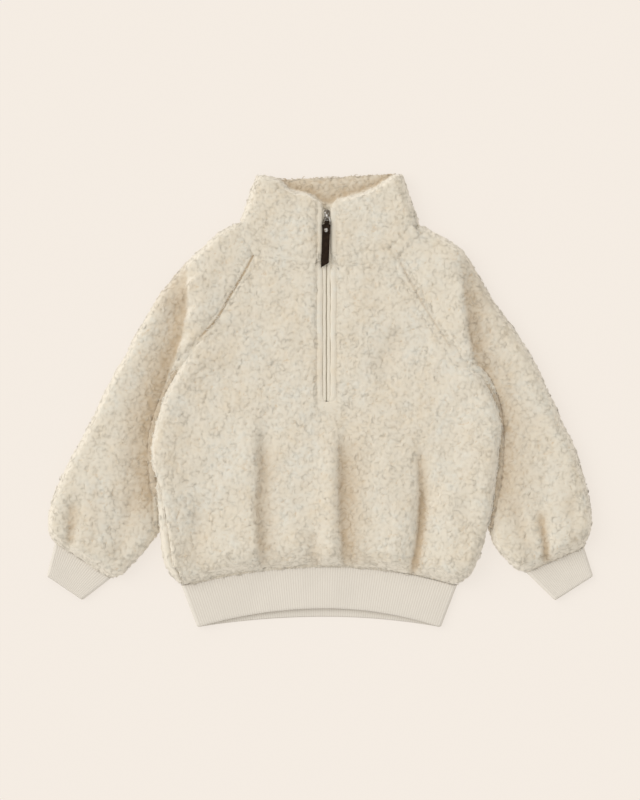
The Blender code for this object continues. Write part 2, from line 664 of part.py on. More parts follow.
def collar_grids(front, front_inner, slot, back, back_inner, right, right_inner, left, left_inner):
    """The collar's grids, from the zip's right edge round the back to its left edge.

    Its seam row is the panels' own neck edges, moved off them by the seam's gap.
    """

    def seam_row(front_row, right_row, back_row, left_row):
        return np.concatenate([
            front_row[:slot + 1][::-1],
            right_row[1:],
            back_row[1:],
            left_row[::-1][1:],
            front_row[slot + 1:][::-1][1:],
        ])

    low_out = seam_row(front[-1], right[0], back[-1], left[0])
    low_in = seam_row(front_inner[-1], right_inner[0], back_inner[-1], left_inner[0])
    seam_columns = len(SLEEVE_SEAM_STEPS) + SLEEVE_TOP_COLUMNS
    edge_count = len(SLEEVE_EDGE_ANGLES)
    right_fold = slot + seam_columns
    left_fold = len(low_out) - (len(front[0]) - slot - 2) - seam_columns - edge_count
    angles = np.full(len(low_out), 90.0)
    angles[right_fold:right_fold + edge_count] = SLEEVE_EDGE_ANGLES
    angles[right_fold + edge_count:left_fold] = -90
    angles[left_fold:left_fold + edge_count] = SLEEVE_EDGE_ANGLES[::-1]
    rising, bend = np.sin(np.radians(angles)), 1 - np.cos(np.radians(angles))

    def spread(first, last, curve, start, end):
        """Places along the collar's top edge, as far apart as the seam row's."""
        steps = np.linalg.norm(np.diff(low_out[first:last + 1, :2], axis=0), axis=1)
        shares = np.concatenate([[0], np.cumsum(steps)]) / steps.sum()
        return along(curve, start + shares * (end - start))

    def beside_zip(curve, xs):
        """Places and shares of the top edge above the flattened strip, which keeps its width."""
        shares = np.linspace(0, 0.6, 200)
        points = along(curve, shares)
        order = np.argsort(points[:, 0])
        found = np.interp(xs, points[order, 0], shares[order])
        return np.column_stack([xs, np.interp(xs, points[order, 0], points[order, 1])]), found

    high = low_out.copy()
    high_in = low_in.copy()
    radius = SLEEVE_RADIUS
    right_peak, left_peak = np.array(COLLAR_BACK[0]), np.array(COLLAR_BACK[-1])
    high[:3, :2], shares = beside_zip(COLLAR_FRONT_RIGHT, low_out[:3, 0])
    high[2:right_fold + 1, :2] = spread(2, right_fold, COLLAR_FRONT_RIGHT, shares[-1], FOLD_SHARE)
    first, last = right_fold + edge_count - 1, left_fold
    high[first:last + 1, :2] = spread(first, last, COLLAR_BACK, BACK_FOLD_SHARE, 1 - BACK_FOLD_SHARE)
    high[-3:, :2], shares = beside_zip(COLLAR_FRONT_LEFT, low_out[-3:, 0])
    first, last = left_fold + edge_count - 1, len(high) - 3
    high[first:last + 1, :2] = spread(first, last, COLLAR_FRONT_LEFT, FOLD_SHARE, shares[0])
    high_in[:, :2] = high[:, :2]
    for fold, peak, inward in ((right_fold, right_peak, 1), (left_fold, left_peak, -1)):
        part = slice(fold, fold + edge_count)
        ends = (high[fold, :2].copy(), high[fold + edge_count - 1, :2].copy())
        if inward < 0:
            ends = ends[::-1]
        share = 0.5 * (1 + rising[part])[:, None]
        toward = share * (ends[0] - peak) + (1 - share) * (ends[1] - peak)
        toward = toward / np.linalg.norm(toward, axis=1, keepdims=True)
        inset = radius * bend[part]
        high[part, :2] = peak + toward * inset[:, None]
        wall = WALL_SHARE * BACK_THICK
        high_in[part, :2] = peak + toward * (wall + (radius - wall) * bend[part])[:, None]

    away = high[:, :2] - low_out[:, :2]
    away = away / np.linalg.norm(away, axis=1, keepdims=True)
    low_out[:, :2] += SEAM_GAP * away
    low_in[:, :2] += SEAM_GAP * away
    outer, inner = [], []
    for row in COLLAR_ROWS:
        out = low_out + row.share * (high - low_out)
        ins = low_in + row.share * (high_in - low_in)
        out[:, 2] = np.where(angles == 90, row.front, 0.5 * row.front * (1 + rising))
        out[:, 2] += row.lip * 0.5 * (1 - rising)
        strip = ease(STRIP_FADE, STRIP_HALF, np.abs(out[:, 0] - ZIP_X)) * (angles == 90)
        out[:, 2] += (np.minimum(STRIP_TOP, row.front + 1.6) - out[:, 2]) * strip
        top_inner = max(row.front - FLEECE, row.back_inner + LAYER_GAP)
        middle = 0.5 * (top_inner + row.back_inner)
        half = 0.5 * (top_inner - row.back_inner)
        ins[:, 2] = middle + half * rising
        channel = (np.abs(out[:, 0] - ZIP_X) < STRIP_HALF + 0.1) & (angles == 90)
        out[channel, 2] = np.maximum(out[channel, 2], STRIP_UNDER + 1.4)
        ins[channel, 2] = STRIP_UNDER
        outer.append(out)
        inner.append(ins)
    return np.array(outer), np.array(inner)


def arch(shares):
    """A row's bulge between its two ends."""
    return 1 - (2 * shares - 1) ** 2


def hem_arch(shares):
    """The hem seam's own bulge, from 0 at the sides to 1 at the middle."""
    x = BAND_RIGHT[0][0] + shares * (BAND_LEFT[0][0] - BAND_RIGHT[0][0])
    side, middle = BODY_ROWS[0].left, BODY_ROWS[0].front_mid
    return (hem_curve(x) - side) / (middle - side)


def tube_grids(right, left, front_mid, back_mid, height, thick, ribs, back_columns, bulge):
    """A flat rib tube between two fold lines, ribbed on its upper face, plain inside."""
    outer, inner = [], []
    radius = 0.5 * height
    angles = np.array((90, 45, 0, -45, -90), float)
    for share in (0.0, 1.0):
        right_end = np.array(right[0]) + share * (np.array(right[1]) - np.array(right[0]))
        left_end = np.array(left[0]) + share * (np.array(left[1]) - np.array(left[0]))
        mids = [mid[0] + share * (mid[1] - mid[0]) for mid in (front_mid, back_mid)]
        run = left_end - right_end
        length = np.hypot(*run)
        run = run / length
        side, side_in = rounded_side(angles, height, thick, height - thick, radius, radius, 0.5 * height, 0.0)

        def on(shares, mid):
            """Plan points between the fold lines, bulging to the row's middle."""
            places = right_end + shares[:, None] * (left_end - right_end)
            places[:, 1] += (mid - 0.5 * (right_end[1] + left_end[1])) * bulge(shares)
            return places

        inset = radius / length
        front_shares = np.linspace(1 - inset, inset, 2 * ribs + 1)[1:-1]
        back_shares = np.linspace(inset, 1 - inset, back_columns + 2)[1:-1]
        ridge = np.where(np.arange(len(front_shares)) % 2 == 0, 0.0, -RIB_RAISE)
        front_plan, back_plan = on(front_shares, mids[0]), on(back_shares, mids[1])
        right_fold = on(side[:, 0] / length, 0.5 * (mids[0] + mids[1]))
        left_fold = on(1 - side[:, 0] / length, 0.5 * (mids[0] + mids[1]))
        right_in = on(side_in[:, 0] / length, 0.5 * (mids[0] + mids[1]))
        left_in = on(1 - side_in[:, 0] / length, 0.5 * (mids[0] + mids[1]))
        outer.append(np.concatenate([
            np.column_stack([front_plan, height + ridge]),
            np.column_stack([right_fold, side[:, 1]]),
            np.column_stack([back_plan, np.zeros(len(back_plan))]),
            np.column_stack([left_fold, side[:, 1]])[::-1],
        ]))
        inner.append(np.concatenate([
            np.column_stack([front_plan, np.full(len(front_plan), height - thick)]),
            np.column_stack([right_in, side_in[:, 1]]),
            np.column_stack([back_plan, np.full(len(back_plan), thick)]),
            np.column_stack([left_in, side_in[:, 1]])[::-1],
        ]))
    return np.array(outer), np.array(inner)


def material(kind, part):
    """The plain finish that stands for a cloth or a metal, made for one part."""
    found = bpy.data.materials.new(f"{kind}_of_{part}")
    found.use_nodes = True
    shader = found.node_tree.nodes["Principled BSDF"]
    look = LOOKS[kind]
    shader.inputs["Base Color"].default_value = (*look.color, 1)
    shader.inputs["Roughness"].default_value = look.roughness
    shader.inputs["Metallic"].default_value = look.metallic
    return found


def finish(name, mesh, collection, kind, parent, origin=(0, 0, 0), smooth=True):
    """Puts a mesh in the scene as a named part, with its own material and its origin where it turns."""
    offset = np.array(origin, float) * MM
    points = np.empty(len(mesh.vertices) * 3)
    mesh.vertices.foreach_get("co", points)
    mesh.vertices.foreach_set("co", (points.reshape(-1, 3) - offset).ravel())
    part = bpy.data.objects.new(name, mesh)
    part.location = offset
    collection.objects.link(part)
    mesh.materials.clear()
    mesh.materials.append(material(kind, name))
    if smooth:
        mesh.shade_smooth()
    part.parent = parent


def wall_mesh(name, outer, inner, closed=False, keep=None):
    """A closed wall between an outer and an inner grid, with its edges filled all round."""
    rows, columns = outer.shape[:2]
    count = rows * columns
    bm = bmesh.new()
    for point in np.concatenate([outer.reshape(-1, 3), inner.reshape(-1, 3)]) * MM:
        bm.verts.new(point)
    bm.verts.ensure_lookup_table()
    edges = {}
    for i in range(rows - 1):
        for j in range(columns if closed else columns - 1):
            if keep is not None and not keep[i][j]:
                continue
            after = (j + 1) % columns
            corners = (i * columns + j, i * columns + after, (i + 1) * columns + after, (i + 1) * columns + j)
            bm.faces.new([bm.verts[k] for k in corners])
            bm.faces.new([bm.verts[k + count] for k in reversed(corners)])
            for a, b in zip(corners, corners[1:] + corners[:1]):
                if (b, a) in edges:
                    del edges[(b, a)]
                else:
                    edges[(a, b)] = True
    for a, b in edges:
        bm.faces.new([bm.verts[k] for k in (b, a, a + count, b + count)])
    loose = [vert for vert in bm.verts if not vert.link_faces]
    bmesh.ops.delete(bm, geom=loose, context="VERTS")
    bmesh.ops.recalc_face_normals(bm, faces=bm.faces)
    mesh = bpy.data.meshes.new(name)
    bm.to_mesh(mesh)
    bm.free()
    return mesh


def slab_mesh(name, outline, low, high):
    """A flat piece cut to an outline, as a filled curve with its thickness."""
    curve = bpy.data.curves.new(name, "CURVE")
    curve.dimensions = "2D"
    curve.fill_mode = "BOTH"
    curve.extrude = 0.5 * (high - low) * MM
    spline = curve.splines.new("POLY")
    spline.points.add(len(outline) - 1)
    for point, (x, y) in zip(spline.points, outline):
        point.co = (x * MM, y * MM, 0, 1)
    spline.use_cyclic_u = True
    return mesh_of_curve(name, curve, 0.5 * (low + high) * MM)


def mesh_of_curve(name, curve, lift=0.0):
    """Turns a curve into a closed mesh, with its caps welded on."""
    helper = bpy.data.objects.new(name + "_curve", curve)
    bpy.context.scene.collection.objects.link(helper)
    graph = bpy.context.evaluated_depsgraph_get()
    mesh = bpy.data.meshes.new_from_object(helper.evaluated_get(graph))
    bpy.data.objects.remove(helper)
    bm = bmesh.new()
    bm.from_mesh(mesh)
    bmesh.ops.remove_doubles(bm, verts=bm.verts, dist=1e-6)
    bmesh.ops.translate(bm, verts=bm.verts, vec=(0, 0, lift))
    bmesh.ops.recalc_face_normals(bm, faces=bm.faces)
    bm.to_mesh(mesh)
    bm.free()
    return mesh


def box_mesh(name, x, y, z, bevel=0.0):
    """A box between two x, two y and two z, with its edges softened."""
    bm = bmesh.new()
    bmesh.ops.create_cube(bm, size=1.0)
    for vert in bm.verts:
        for axis, (low, high) in enumerate((x, y, z)):
            vert.co[axis] = (low + (vert.co[axis] + 0.5) * (high - low)) * MM
    if bevel:
        bmesh.ops.bevel(bm, geom=bm.edges, offset=bevel * MM, segments=1, affect="EDGES")
    mesh = bpy.data.meshes.new(name)
    bm.to_mesh(mesh)
    bm.free()
    return mesh


def rod_mesh(name, radius, half, y, z, sides=14):
    """A round rod along X, centred in the strap or the link."""
    bm = bmesh.new()
    bmesh.ops.create_cone(bm, cap_ends=True, segments=sides, radius1=radius * MM, radius2=radius * MM,
                          depth=2 * half * MM)
    for vert in bm.verts:
        x, y0, z0 = vert.co
        vert.co = (z0, y0 + y * MM, -x + z * MM)
    bmesh.ops.recalc_face_normals(bm, faces=bm.faces)
    mesh = bpy.data.meshes.new(name)
    bm.to_mesh(mesh)
    bm.free()
    return mesh


def combine(mesh, others, operation, cutters):
    """Joins or cuts meshes exactly, and gives the new mesh back."""
    body = bpy.data.objects.new("body_of_piece", mesh)
    bpy.context.scene.collection.objects.link(body)
    for number, other in enumerate(others):
        tool = bpy.data.objects.new(f"tool_{mesh.name}_{number}", other)
        cutters.objects.link(tool)
        tool.hide_render = True
        tool.display_type = "WIRE"
        modifier = body.modifiers.new(f"step_{number}", "BOOLEAN")
        modifier.operation = operation
        modifier.object = tool
    graph = bpy.context.evaluated_depsgraph_get()
    made = bpy.data.meshes.new_from_object(body.evaluated_get(graph))
    bpy.data.objects.remove(body)
    return made


def shifted(mesh, x):
    for vert in mesh.vertices:
        vert.co.x += x * MM
    return mesh


def slider_mesh(cutters):
    """Two plates, the post that joins them and the bridge that holds the link."""
    half = 0.5 * PLATE_WIDTH
    across = (SLIDER_X - half, SLIDER_X + half)
    outer = box_mesh("slider", across, PLATE_Y, OUTER_PLATE_Z, 0.25)
    inner = box_mesh("inner_plate", across, PLATE_Y, INNER_PLATE_Z, 0.25)
    post = box_mesh("post", (SLIDER_X - 0.5 * POST_WIDTH, SLIDER_X + 0.5 * POST_WIDTH), POST_Y,
                    (INNER_PLATE_Z[1] - 0.4, OUTER_PLATE_Z[0] + 0.4))
    bridge_x = (SLIDER_X - 0.5 * BRIDGE_WIDTH, SLIDER_X + 0.5 * BRIDGE_WIDTH)
    sunk = OUTER_PLATE_Z[1] - 0.4
    bridge = box_mesh("bridge", bridge_x, BRIDGE_Y, (sunk, BRIDGE_TOP), 0.3)
    hole = box_mesh("bridge_hole", (bridge_x[0] - 1, bridge_x[1] + 1),
                    (BRIDGE_Y[0] + BRIDGE_BAR, BRIDGE_Y[1] - BRIDGE_BAR),
                    (OUTER_PLATE_Z[1], BRIDGE_TOP - BRIDGE_BAR))
    bridge = combine(bridge, [hole], "DIFFERENCE", cutters)
    return combine(outer, [inner, post, bridge], "UNION", cutters)


def link_mesh():
    """The wire link: a closed loop, narrow where it passes the bridge, wide in the strap's eye."""
    corners = [(-LINK_TOP_HALF, *LINK_AXIS), (LINK_TOP_HALF, *LINK_AXIS),
               (LINK_LOW_HALF, *LINK_BAR), (-LINK_LOW_HALF, *LINK_BAR)]
    corners = [np.array((SLIDER_X + x, y, z)) for x, y, z in corners]
    points = []
    for before, corner, after in zip(corners[-1:] + corners[:-1], corners, corners[1:] + corners[:1]):
        start = corner + 0.7 * unit(before - corner)
        end = corner + 0.7 * unit(after - corner)
        for t in (0, 0.33, 0.67, 1):
            points.append((1 - t) ** 2 * start + 2 * t * (1 - t) * corner + t * t * end)
    curve = bpy.data.curves.new("pull_link", "CURVE")
    curve.dimensions = "3D"
    curve.bevel_depth = WIRE_RADIUS * MM
    curve.bevel_resolution = 2
    spline = curve.splines.new("POLY")
    spline.points.add(len(points) - 1)
    for point, place in zip(spline.points, points):
        point.co = (*(place * MM), 1)
    spline.use_cyclic_u = True
    return mesh_of_curve("pull_link", curve)


def strap_mesh(cutters):
    """The leather strap: an eye round the link's lower bar, and a flat tongue cut slantwise at its end."""
    middle = LINK_BAR[1]
    low, high = middle - 0.5 * STRAP_THICK, middle + 0.5 * STRAP_THICK
    outline = (
        (STRAP_X - EYE_HALF, LINK_BAR[0] - 1.3),
        (STRAP_X - STRAP_TOP_HALF, STRAP_SHOULDER),
        (STRAP_X - STRAP_HALF, STRAP_NECK),
        (STRAP_END_X - STRAP_HALF, STRAP_LONG_END),
        (STRAP_END_X + STRAP_HALF, STRAP_SHORT_END),
        (STRAP_X + STRAP_HALF, STRAP_NECK),
        (STRAP_X + STRAP_TOP_HALF, STRAP_SHOULDER),
        (STRAP_X + EYE_HALF, LINK_BAR[0] - 1.3),
    )
    tongue = slab_mesh("pull_strap", outline, low, high)
    eye = shifted(rod_mesh("eye", EYE_RADIUS, EYE_HALF, LINK_BAR[0], middle), SLIDER_X)
    hole = shifted(rod_mesh("eye_hole", EYE_HOLE, EYE_HALF + 3, LINK_BAR[0], middle), SLIDER_X)
    rivet_hole = bmesh.new()
    bmesh.ops.create_cone(rivet_hole, cap_ends=True, segments=12, depth=8 * MM,
                          radius1=(RIVET_SHANK + RIVET_CLEAR) * MM, radius2=(RIVET_SHANK + RIVET_CLEAR) * MM)
    bmesh.ops.translate(rivet_hole, verts=rivet_hole.verts, vec=(rivet_x() * MM, RIVET_Y * MM, middle * MM))
    rivet_mesh = bpy.data.meshes.new("rivet_hole")
    rivet_hole.to_mesh(rivet_mesh)
    rivet_hole.free()
    joined = combine(tongue, [eye], "UNION", cutters)
    return combine(joined, [hole, rivet_mesh], "DIFFERENCE", cutters)


def rivet_x():
    """The strap's middle at the rivet, as the strap leans a little."""
    share = (STRAP_NECK - RIVET_Y) / (STRAP_NECK - STRAP_LONG_END)
    return STRAP_X + share * (STRAP_END_X - STRAP_X)


def add_rivet(collection, parent):
    """A turned rivet: a domed head, a shank through the strap and a flat washer behind."""
    middle = LINK_BAR[1]
    high = middle + 0.5 * STRAP_THICK + RIVET_CLEAR
    low = middle - 0.5 * STRAP_THICK - RIVET_CLEAR
    profile = ((0, high + 0.9), (1.2, high + 0.7), (RIVET_RADIUS, high + 0.25), (RIVET_RADIUS, high),
               (RIVET_SHANK, high), (RIVET_SHANK, low), (1.9, low), (1.9, low - 0.5), (0, low - 0.5))
    mesh = bpy.data.meshes.new("pull_rivet")
    edges = [(i, i + 1) for i in range(len(profile) - 1)]
    mesh.from_pydata([(x * MM, 0, (z - middle) * MM) for x, z in profile], edges, [])
    rivet = bpy.data.objects.new("pull_rivet", mesh)
    rivet.location = (rivet_x() * MM, RIVET_Y * MM, middle * MM)
    collection.objects.link(rivet)
    screw = rivet.modifiers.new("turn", "SCREW")
    screw.axis = "Z"
    screw.steps = screw.render_steps = 20
    screw.use_merge_vertices = True
    screw.merge_threshold = 0.00001
    screw.use_smooth_shade = True
    rivet.parent = parent
    mesh.materials.append(material("nickel", "pull_rivet"))


def tape_outline(side):
    """A zip tape's plan: straight along the closed coil, parted round the slider's post at the top."""
    near = ZIP_X + side * 0.3
    parted = ZIP_X + side * 1.9
    far = ZIP_X + side * TAPE_WIDTH
    return ((near, ZIP_BOTTOM), (far, ZIP_BOTTOM), (far, ZIP_TOP), (parted, ZIP_TOP),
            (parted, TAPE_PART + 2), (near, TAPE_PART))


def build():
    for old in list(bpy.data.objects):
        bpy.data.objects.remove(old)
    garment = bpy.data.collections.new("half_zip_pullover")
    cutters = bpy.data.collections.new("cutters")
    bpy.context.scene.collection.children.link(garment)
    bpy.context.scene.collection.children.link(cutters)
    holder = bpy.data.objects.new("pullover_origin", None)
    garment.objects.link(holder)

    front, front_inner, slot = front_grids()
    keep = [[not (i >= SLOT_ROW and j == slot) for j in range(front.shape[1] - 1)]
            for i in range(front.shape[0] - 1)]
    back, back_inner = back_grids()
    right_plan = SleevePlan(RIGHT_OVERARM, RIGHT_UNDERARM, RIGHT_FRONT_RAGLAN, RIGHT_BACK_RAGLAN, inside_right)
    left_plan = SleevePlan(LEFT_OVERARM, LEFT_UNDERARM, LEFT_FRONT_RAGLAN, LEFT_BACK_RAGLAN, inside_left)
    right, right_inner = right_plan.grids()
    left, left_inner = left_plan.grids()
    collar, collar_inner = collar_grids(front, front_inner, slot, back, back_inner,
                                        right, right_inner, left, left_inner)
    band, band_inner = tube_grids(BAND_RIGHT, BAND_LEFT, BAND_FRONT_MID, BAND_BACK_MID,
                                  BAND_TOP, RIB_WALL, BAND_RIBS, BAND_BACK_COLUMNS, hem_arch)

    finish("front", wall_mesh("front", front, front_inner, keep=keep), garment, "fleece", holder)
    finish("back", wall_mesh("back", back, back_inner), garment, "fleece", holder)
    finish("sleeve_right", wall_mesh("sleeve_right", right, right_inner), garment, "fleece", holder)
    finish("sleeve_left", wall_mesh("sleeve_left", left, left_inner), garment, "fleece", holder)
    finish("collar", wall_mesh("collar", collar, collar_inner), garment, "fleece", holder)
    finish("hem_band", wall_mesh("hem_band", band, band_inner, closed=True), garment, "rib", holder)
    for name, cuff in CUFFS.items():
        seam = unit(np.array(cuff.inner) - np.array(cuff.outer))
        down = np.array((seam[1], -seam[0]))
        down = down if down[1] < 0 else -down
        lines = [(tuple(np.array(start) + SEAM_GAP * down), end)
                 for start, end in ((cuff.outer, cuff.end_outer), (cuff.inner, cuff.end_inner))]
        if lines[0][0][0] > lines[1][0][0]:
            lines.reverse()
        middles = [0.5 * (lines[0][k][1] + lines[1][k][1]) for k in (0, 1)]
        outer, inner = tube_grids(lines[0], lines[1], middles, middles, CUFF_TOP, CUFF_WALL,
                                  cuff.ribs, CUFF_BACK_COLUMNS, arch)
        finish(name, wall_mesh(name, outer, inner, closed=True), garment, "rib", holder)

    for name, side in (("zip_tape_right", -1), ("zip_tape_left", 1)):
        tape = slab_mesh(name, tape_outline(side), TAPE_LOW, TAPE_TOP)
        finish(name, tape, garment, "tape", holder, smooth=False)
    coil = box_mesh("zip_coil", (ZIP_X - 0.5 * COIL_WIDTH, ZIP_X + 0.5 * COIL_WIDTH),
                    (ZIP_BOTTOM + 0.5, TAPE_PART), COIL_Z, 0.4)
    finish("zip_coil", coil, garment, "tape", holder, smooth=False)
    finish("slider", slider_mesh(cutters), garment, "nickel", holder, smooth=False)

    finish("pull_link", link_mesh(), garment, "nickel", holder, (SLIDER_X, *LINK_AXIS))
    finish("pull_strap", strap_mesh(cutters), garment, "leather", holder, (SLIDER_X, *LINK_BAR), smooth=False)
    add_rivet(garment, holder)


build()
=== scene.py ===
"""Looks of a child's half-zip pullover in long-pile fleece, lying flat on its back.

The camera looks straight down, the collar is towards +Y, and right and left are the wearer's.
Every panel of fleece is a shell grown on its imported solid: the solid is remeshed, its curled pile
is raised, and loose locks of pile stand up from it. Ribs, tapes, stitches, slider and pull are
meshes of their own. Lengths are in metres unless a name says otherwise.
"""

import logging
import math
from collections.abc import Iterable, Sequence
from dataclasses import dataclass, field
from enum import Enum

import bmesh
import bpy
import numpy as np
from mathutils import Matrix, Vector, noise
from mathutils.bvhtree import BVHTree


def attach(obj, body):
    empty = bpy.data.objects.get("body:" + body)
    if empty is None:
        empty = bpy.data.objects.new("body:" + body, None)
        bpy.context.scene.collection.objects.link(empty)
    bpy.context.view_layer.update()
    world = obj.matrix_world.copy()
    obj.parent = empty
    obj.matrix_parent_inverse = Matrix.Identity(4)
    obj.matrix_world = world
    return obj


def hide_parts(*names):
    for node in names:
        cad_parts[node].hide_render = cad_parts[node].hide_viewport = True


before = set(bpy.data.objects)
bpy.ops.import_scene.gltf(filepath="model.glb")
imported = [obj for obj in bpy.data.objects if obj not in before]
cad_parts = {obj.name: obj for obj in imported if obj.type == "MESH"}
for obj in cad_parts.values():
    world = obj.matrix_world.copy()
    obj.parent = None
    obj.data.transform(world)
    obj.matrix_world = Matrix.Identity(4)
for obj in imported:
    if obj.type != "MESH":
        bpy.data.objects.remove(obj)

# The vector noise starts from the clock unless it is given a seed
NOISE_SEED = 5
noise.seed_set(NOISE_SEED)

LOG = logging.getLogger("pullover")
MM = 0.001
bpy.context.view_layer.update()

# Where the hem's rounded sides end, in millimetres
HEM_ENDS = (-149.7, 147.7)

# The zip's middle, its foot and its top, and how far the pile beside it is pressed flat
ZIP_X = 7.3 * MM
ZIP_FOOT = -1.5 * MM
ZIP_TOP = 212.0 * MM
STRIP_BARE = 11.6 * MM
STITCH_LINE = 11.0 * MM

# The heights between which the front begins, above the back
FRONT_LEVEL = (12.0 * MM, 15.0 * MM)

# The upper edge of the collar's front, as places across and up, in millimetres
COLLAR_OPENING = (
    (-69.0, -44.0, -33.0, -7.0, 2.3, 12.3, 19.0, 41.0, 64.0, 79.0, 90.0),
    (248.0, 241.0, 231.0, 224.0, 216.0, 214.0, 220.0, 225.0, 234.0, 245.0, 249.0),
)

# Short names for a line in the plan, for points with the faces that join them by number, and for a colour
Line = tuple[tuple[float, float], ...]
Shape = tuple[np.ndarray, list[list[int]]]
Color = tuple[float, float, float]


class Slot(Enum):
    """The record's material slots."""

    FLEECE = "fleece"
    RIB = "rib"
    TAPE = "zip_tape"
    COIL = "zip_coil"
    NICKEL = "nickel"
    LEATHER = "leather"


class Body(Enum):
    """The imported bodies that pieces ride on."""

    GARMENT = "garment"
    LINK = "link"
    STRAP = "strap"


# ---- Small helpers ----


def ease(low: float, high: float, at: np.ndarray) -> np.ndarray:
    """Rises smoothly from 0 to 1."""
    share = np.clip((np.asarray(at, float) - low) / (high - low), 0.0, 1.0)
    return share * share * (3.0 - 2.0 * share)


def smooth_curve(points: Sequence[Sequence[float]], count: int) -> np.ndarray:
    """Draws a smooth curve through given points.

    Args:
        points: The points to pass through, each with two or three numbers.
        count: How many points the curve gets.

    Returns:
        The curve's points, evenly spaced along it.
    """
    knots = np.asarray(points, float)
    steps = np.linalg.norm(np.diff(knots, axis=0), axis=1)
    at = np.concatenate([[0.0], np.cumsum(steps)])
    wanted = np.linspace(0.0, at[-1], count)
    slopes = np.gradient(knots, at, axis=0)
    index = np.clip(np.searchsorted(at, wanted) - 1, 0, len(at) - 2)
    span = (at[index + 1] - at[index])[:, None]
    t = ((wanted - at[index]) / span[:, 0])[:, None]
    return (
        (1 + 2 * t) * (1 - t) ** 2 * knots[index]
        + t * (1 - t) ** 2 * span * slopes[index]
        + t * t * (3 - 2 * t) * knots[index + 1]
        - t * t * (1 - t) * span * slopes[index + 1]
    )


def distance_to_curve(plan: np.ndarray, curve: np.ndarray) -> tuple[np.ndarray, np.ndarray]:
    """Measures how far plan points are from a curve.

    Args:
        plan: Points as an array of x and y.
        curve: The curve's points, in order.

    Returns:
        Each point's distance, positive to the left of the curve's direction, and its share along it.
    """
    best = np.full(len(plan), np.inf)
    signed = np.zeros(len(plan))
    share = np.zeros(len(plan))
    count = len(curve) - 1
    for number in range(count):
        start, run = curve[number], curve[number + 1] - curve[number]
        length = float(run @ run)
        offset = plan - start
        t = np.clip((offset @ run) / length, 0.0, 1.0)
        gap = offset - t[:, None] * run
        far = np.hypot(gap[:, 0], gap[:, 1])
        nearer = far < best
        best[nearer] = far[nearer]
        side = np.sign(run[0] * offset[:, 1] - run[1] * offset[:, 0])
        signed[nearer] = (far * side)[nearer]
        share[nearer] = ((number + t) / count)[nearer]
    return signed, share


def mesh_points(mesh: bpy.types.Mesh) -> np.ndarray:
    """Reads a mesh's points.

    Args:
        mesh: The mesh to read.

    Returns:
        The places, one row for each point.
    """
    flat = np.empty(len(mesh.vertices) * 3)
    mesh.vertices.foreach_get("co", flat)
    return flat.reshape(-1, 3)


def point_normals(mesh: bpy.types.Mesh) -> np.ndarray:
    """Reads a mesh's point normals.

    Args:
        mesh: The mesh to read.

    Returns:
        One direction for each point.
    """
    flat = np.empty(len(mesh.vertices) * 3)
    mesh.vertex_normals.foreach_get("vector", flat)
    return flat.reshape(-1, 3)


def set_points(mesh: bpy.types.Mesh, points: np.ndarray) -> None:
    """Moves a mesh's points."""
    mesh.vertices.foreach_set("co", np.ascontiguousarray(points, dtype=np.float32).ravel())
    mesh.update()


def add_values(mesh: bpy.types.Mesh, name: str, values: np.ndarray) -> None:
    """Stores one number a point, for the finish to read."""
    attribute = mesh.attributes.new(name, "FLOAT", "POINT")
    attribute.data.foreach_set("value", np.ascontiguousarray(values, dtype=np.float32))


def mesh_from(name: str, points: np.ndarray, faces: Iterable[Sequence[int]], smooth: bool = True) -> bpy.types.Mesh:
    """Makes a mesh from points and faces.

    Args:
        name: The mesh's name.
        points: Its points.
        faces: Its faces, as rows of point numbers.
        smooth: Whether it is shaded smooth.

    Returns:
        The new mesh.
    """
    mesh = bpy.data.meshes.new(name)
    mesh.from_pydata(np.asarray(points).tolist(), [], [list(map(int, face)) for face in faces])
    if smooth:
        mesh.shade_smooth()
    mesh.update()
    return mesh


def put(
    name: str, mesh: bpy.types.Mesh, finish: "Finish", body: Body, replaces: Sequence[str] = ()
) -> bpy.types.Object:
    """Puts a mesh in the scene as a piece of the garment.

    Args:
        name: The piece's name.
        mesh: Its mesh, in the row frame.
        finish: What it is made of.
        body: The body that it moves with.
        replaces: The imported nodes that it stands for.

    Returns:
        The new piece.
    """
    piece = bpy.data.objects.new(name, mesh)
    bpy.context.scene.collection.objects.link(piece)
    mesh.materials.clear()
    mesh.materials.append(finish.material())
    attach(piece, body.value)
    if replaces:
        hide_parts(*replaces)
    mesh.calc_loop_triangles()
    LOG.info("%s: %d triangles", name, len(mesh.loop_triangles))
    return piece


def ring_faces(rings: int, wide: int, closed: bool = False) -> list[list[int]]:
    """Joins rings of points, one after the other, with four-sided faces.

    Args:
        rings: How many rings there are.
        wide: How many points each ring has.
        closed: Whether the last ring joins the first.

    Returns:
        The faces.
    """
    return [
        [i * wide + j, i * wide + (j + 1) % wide, after * wide + (j + 1) % wide, after * wide + j]
        for i, after in ((i, (i + 1) % rings) for i in range(rings if closed else rings - 1))
        for j in range(wide)
    ]


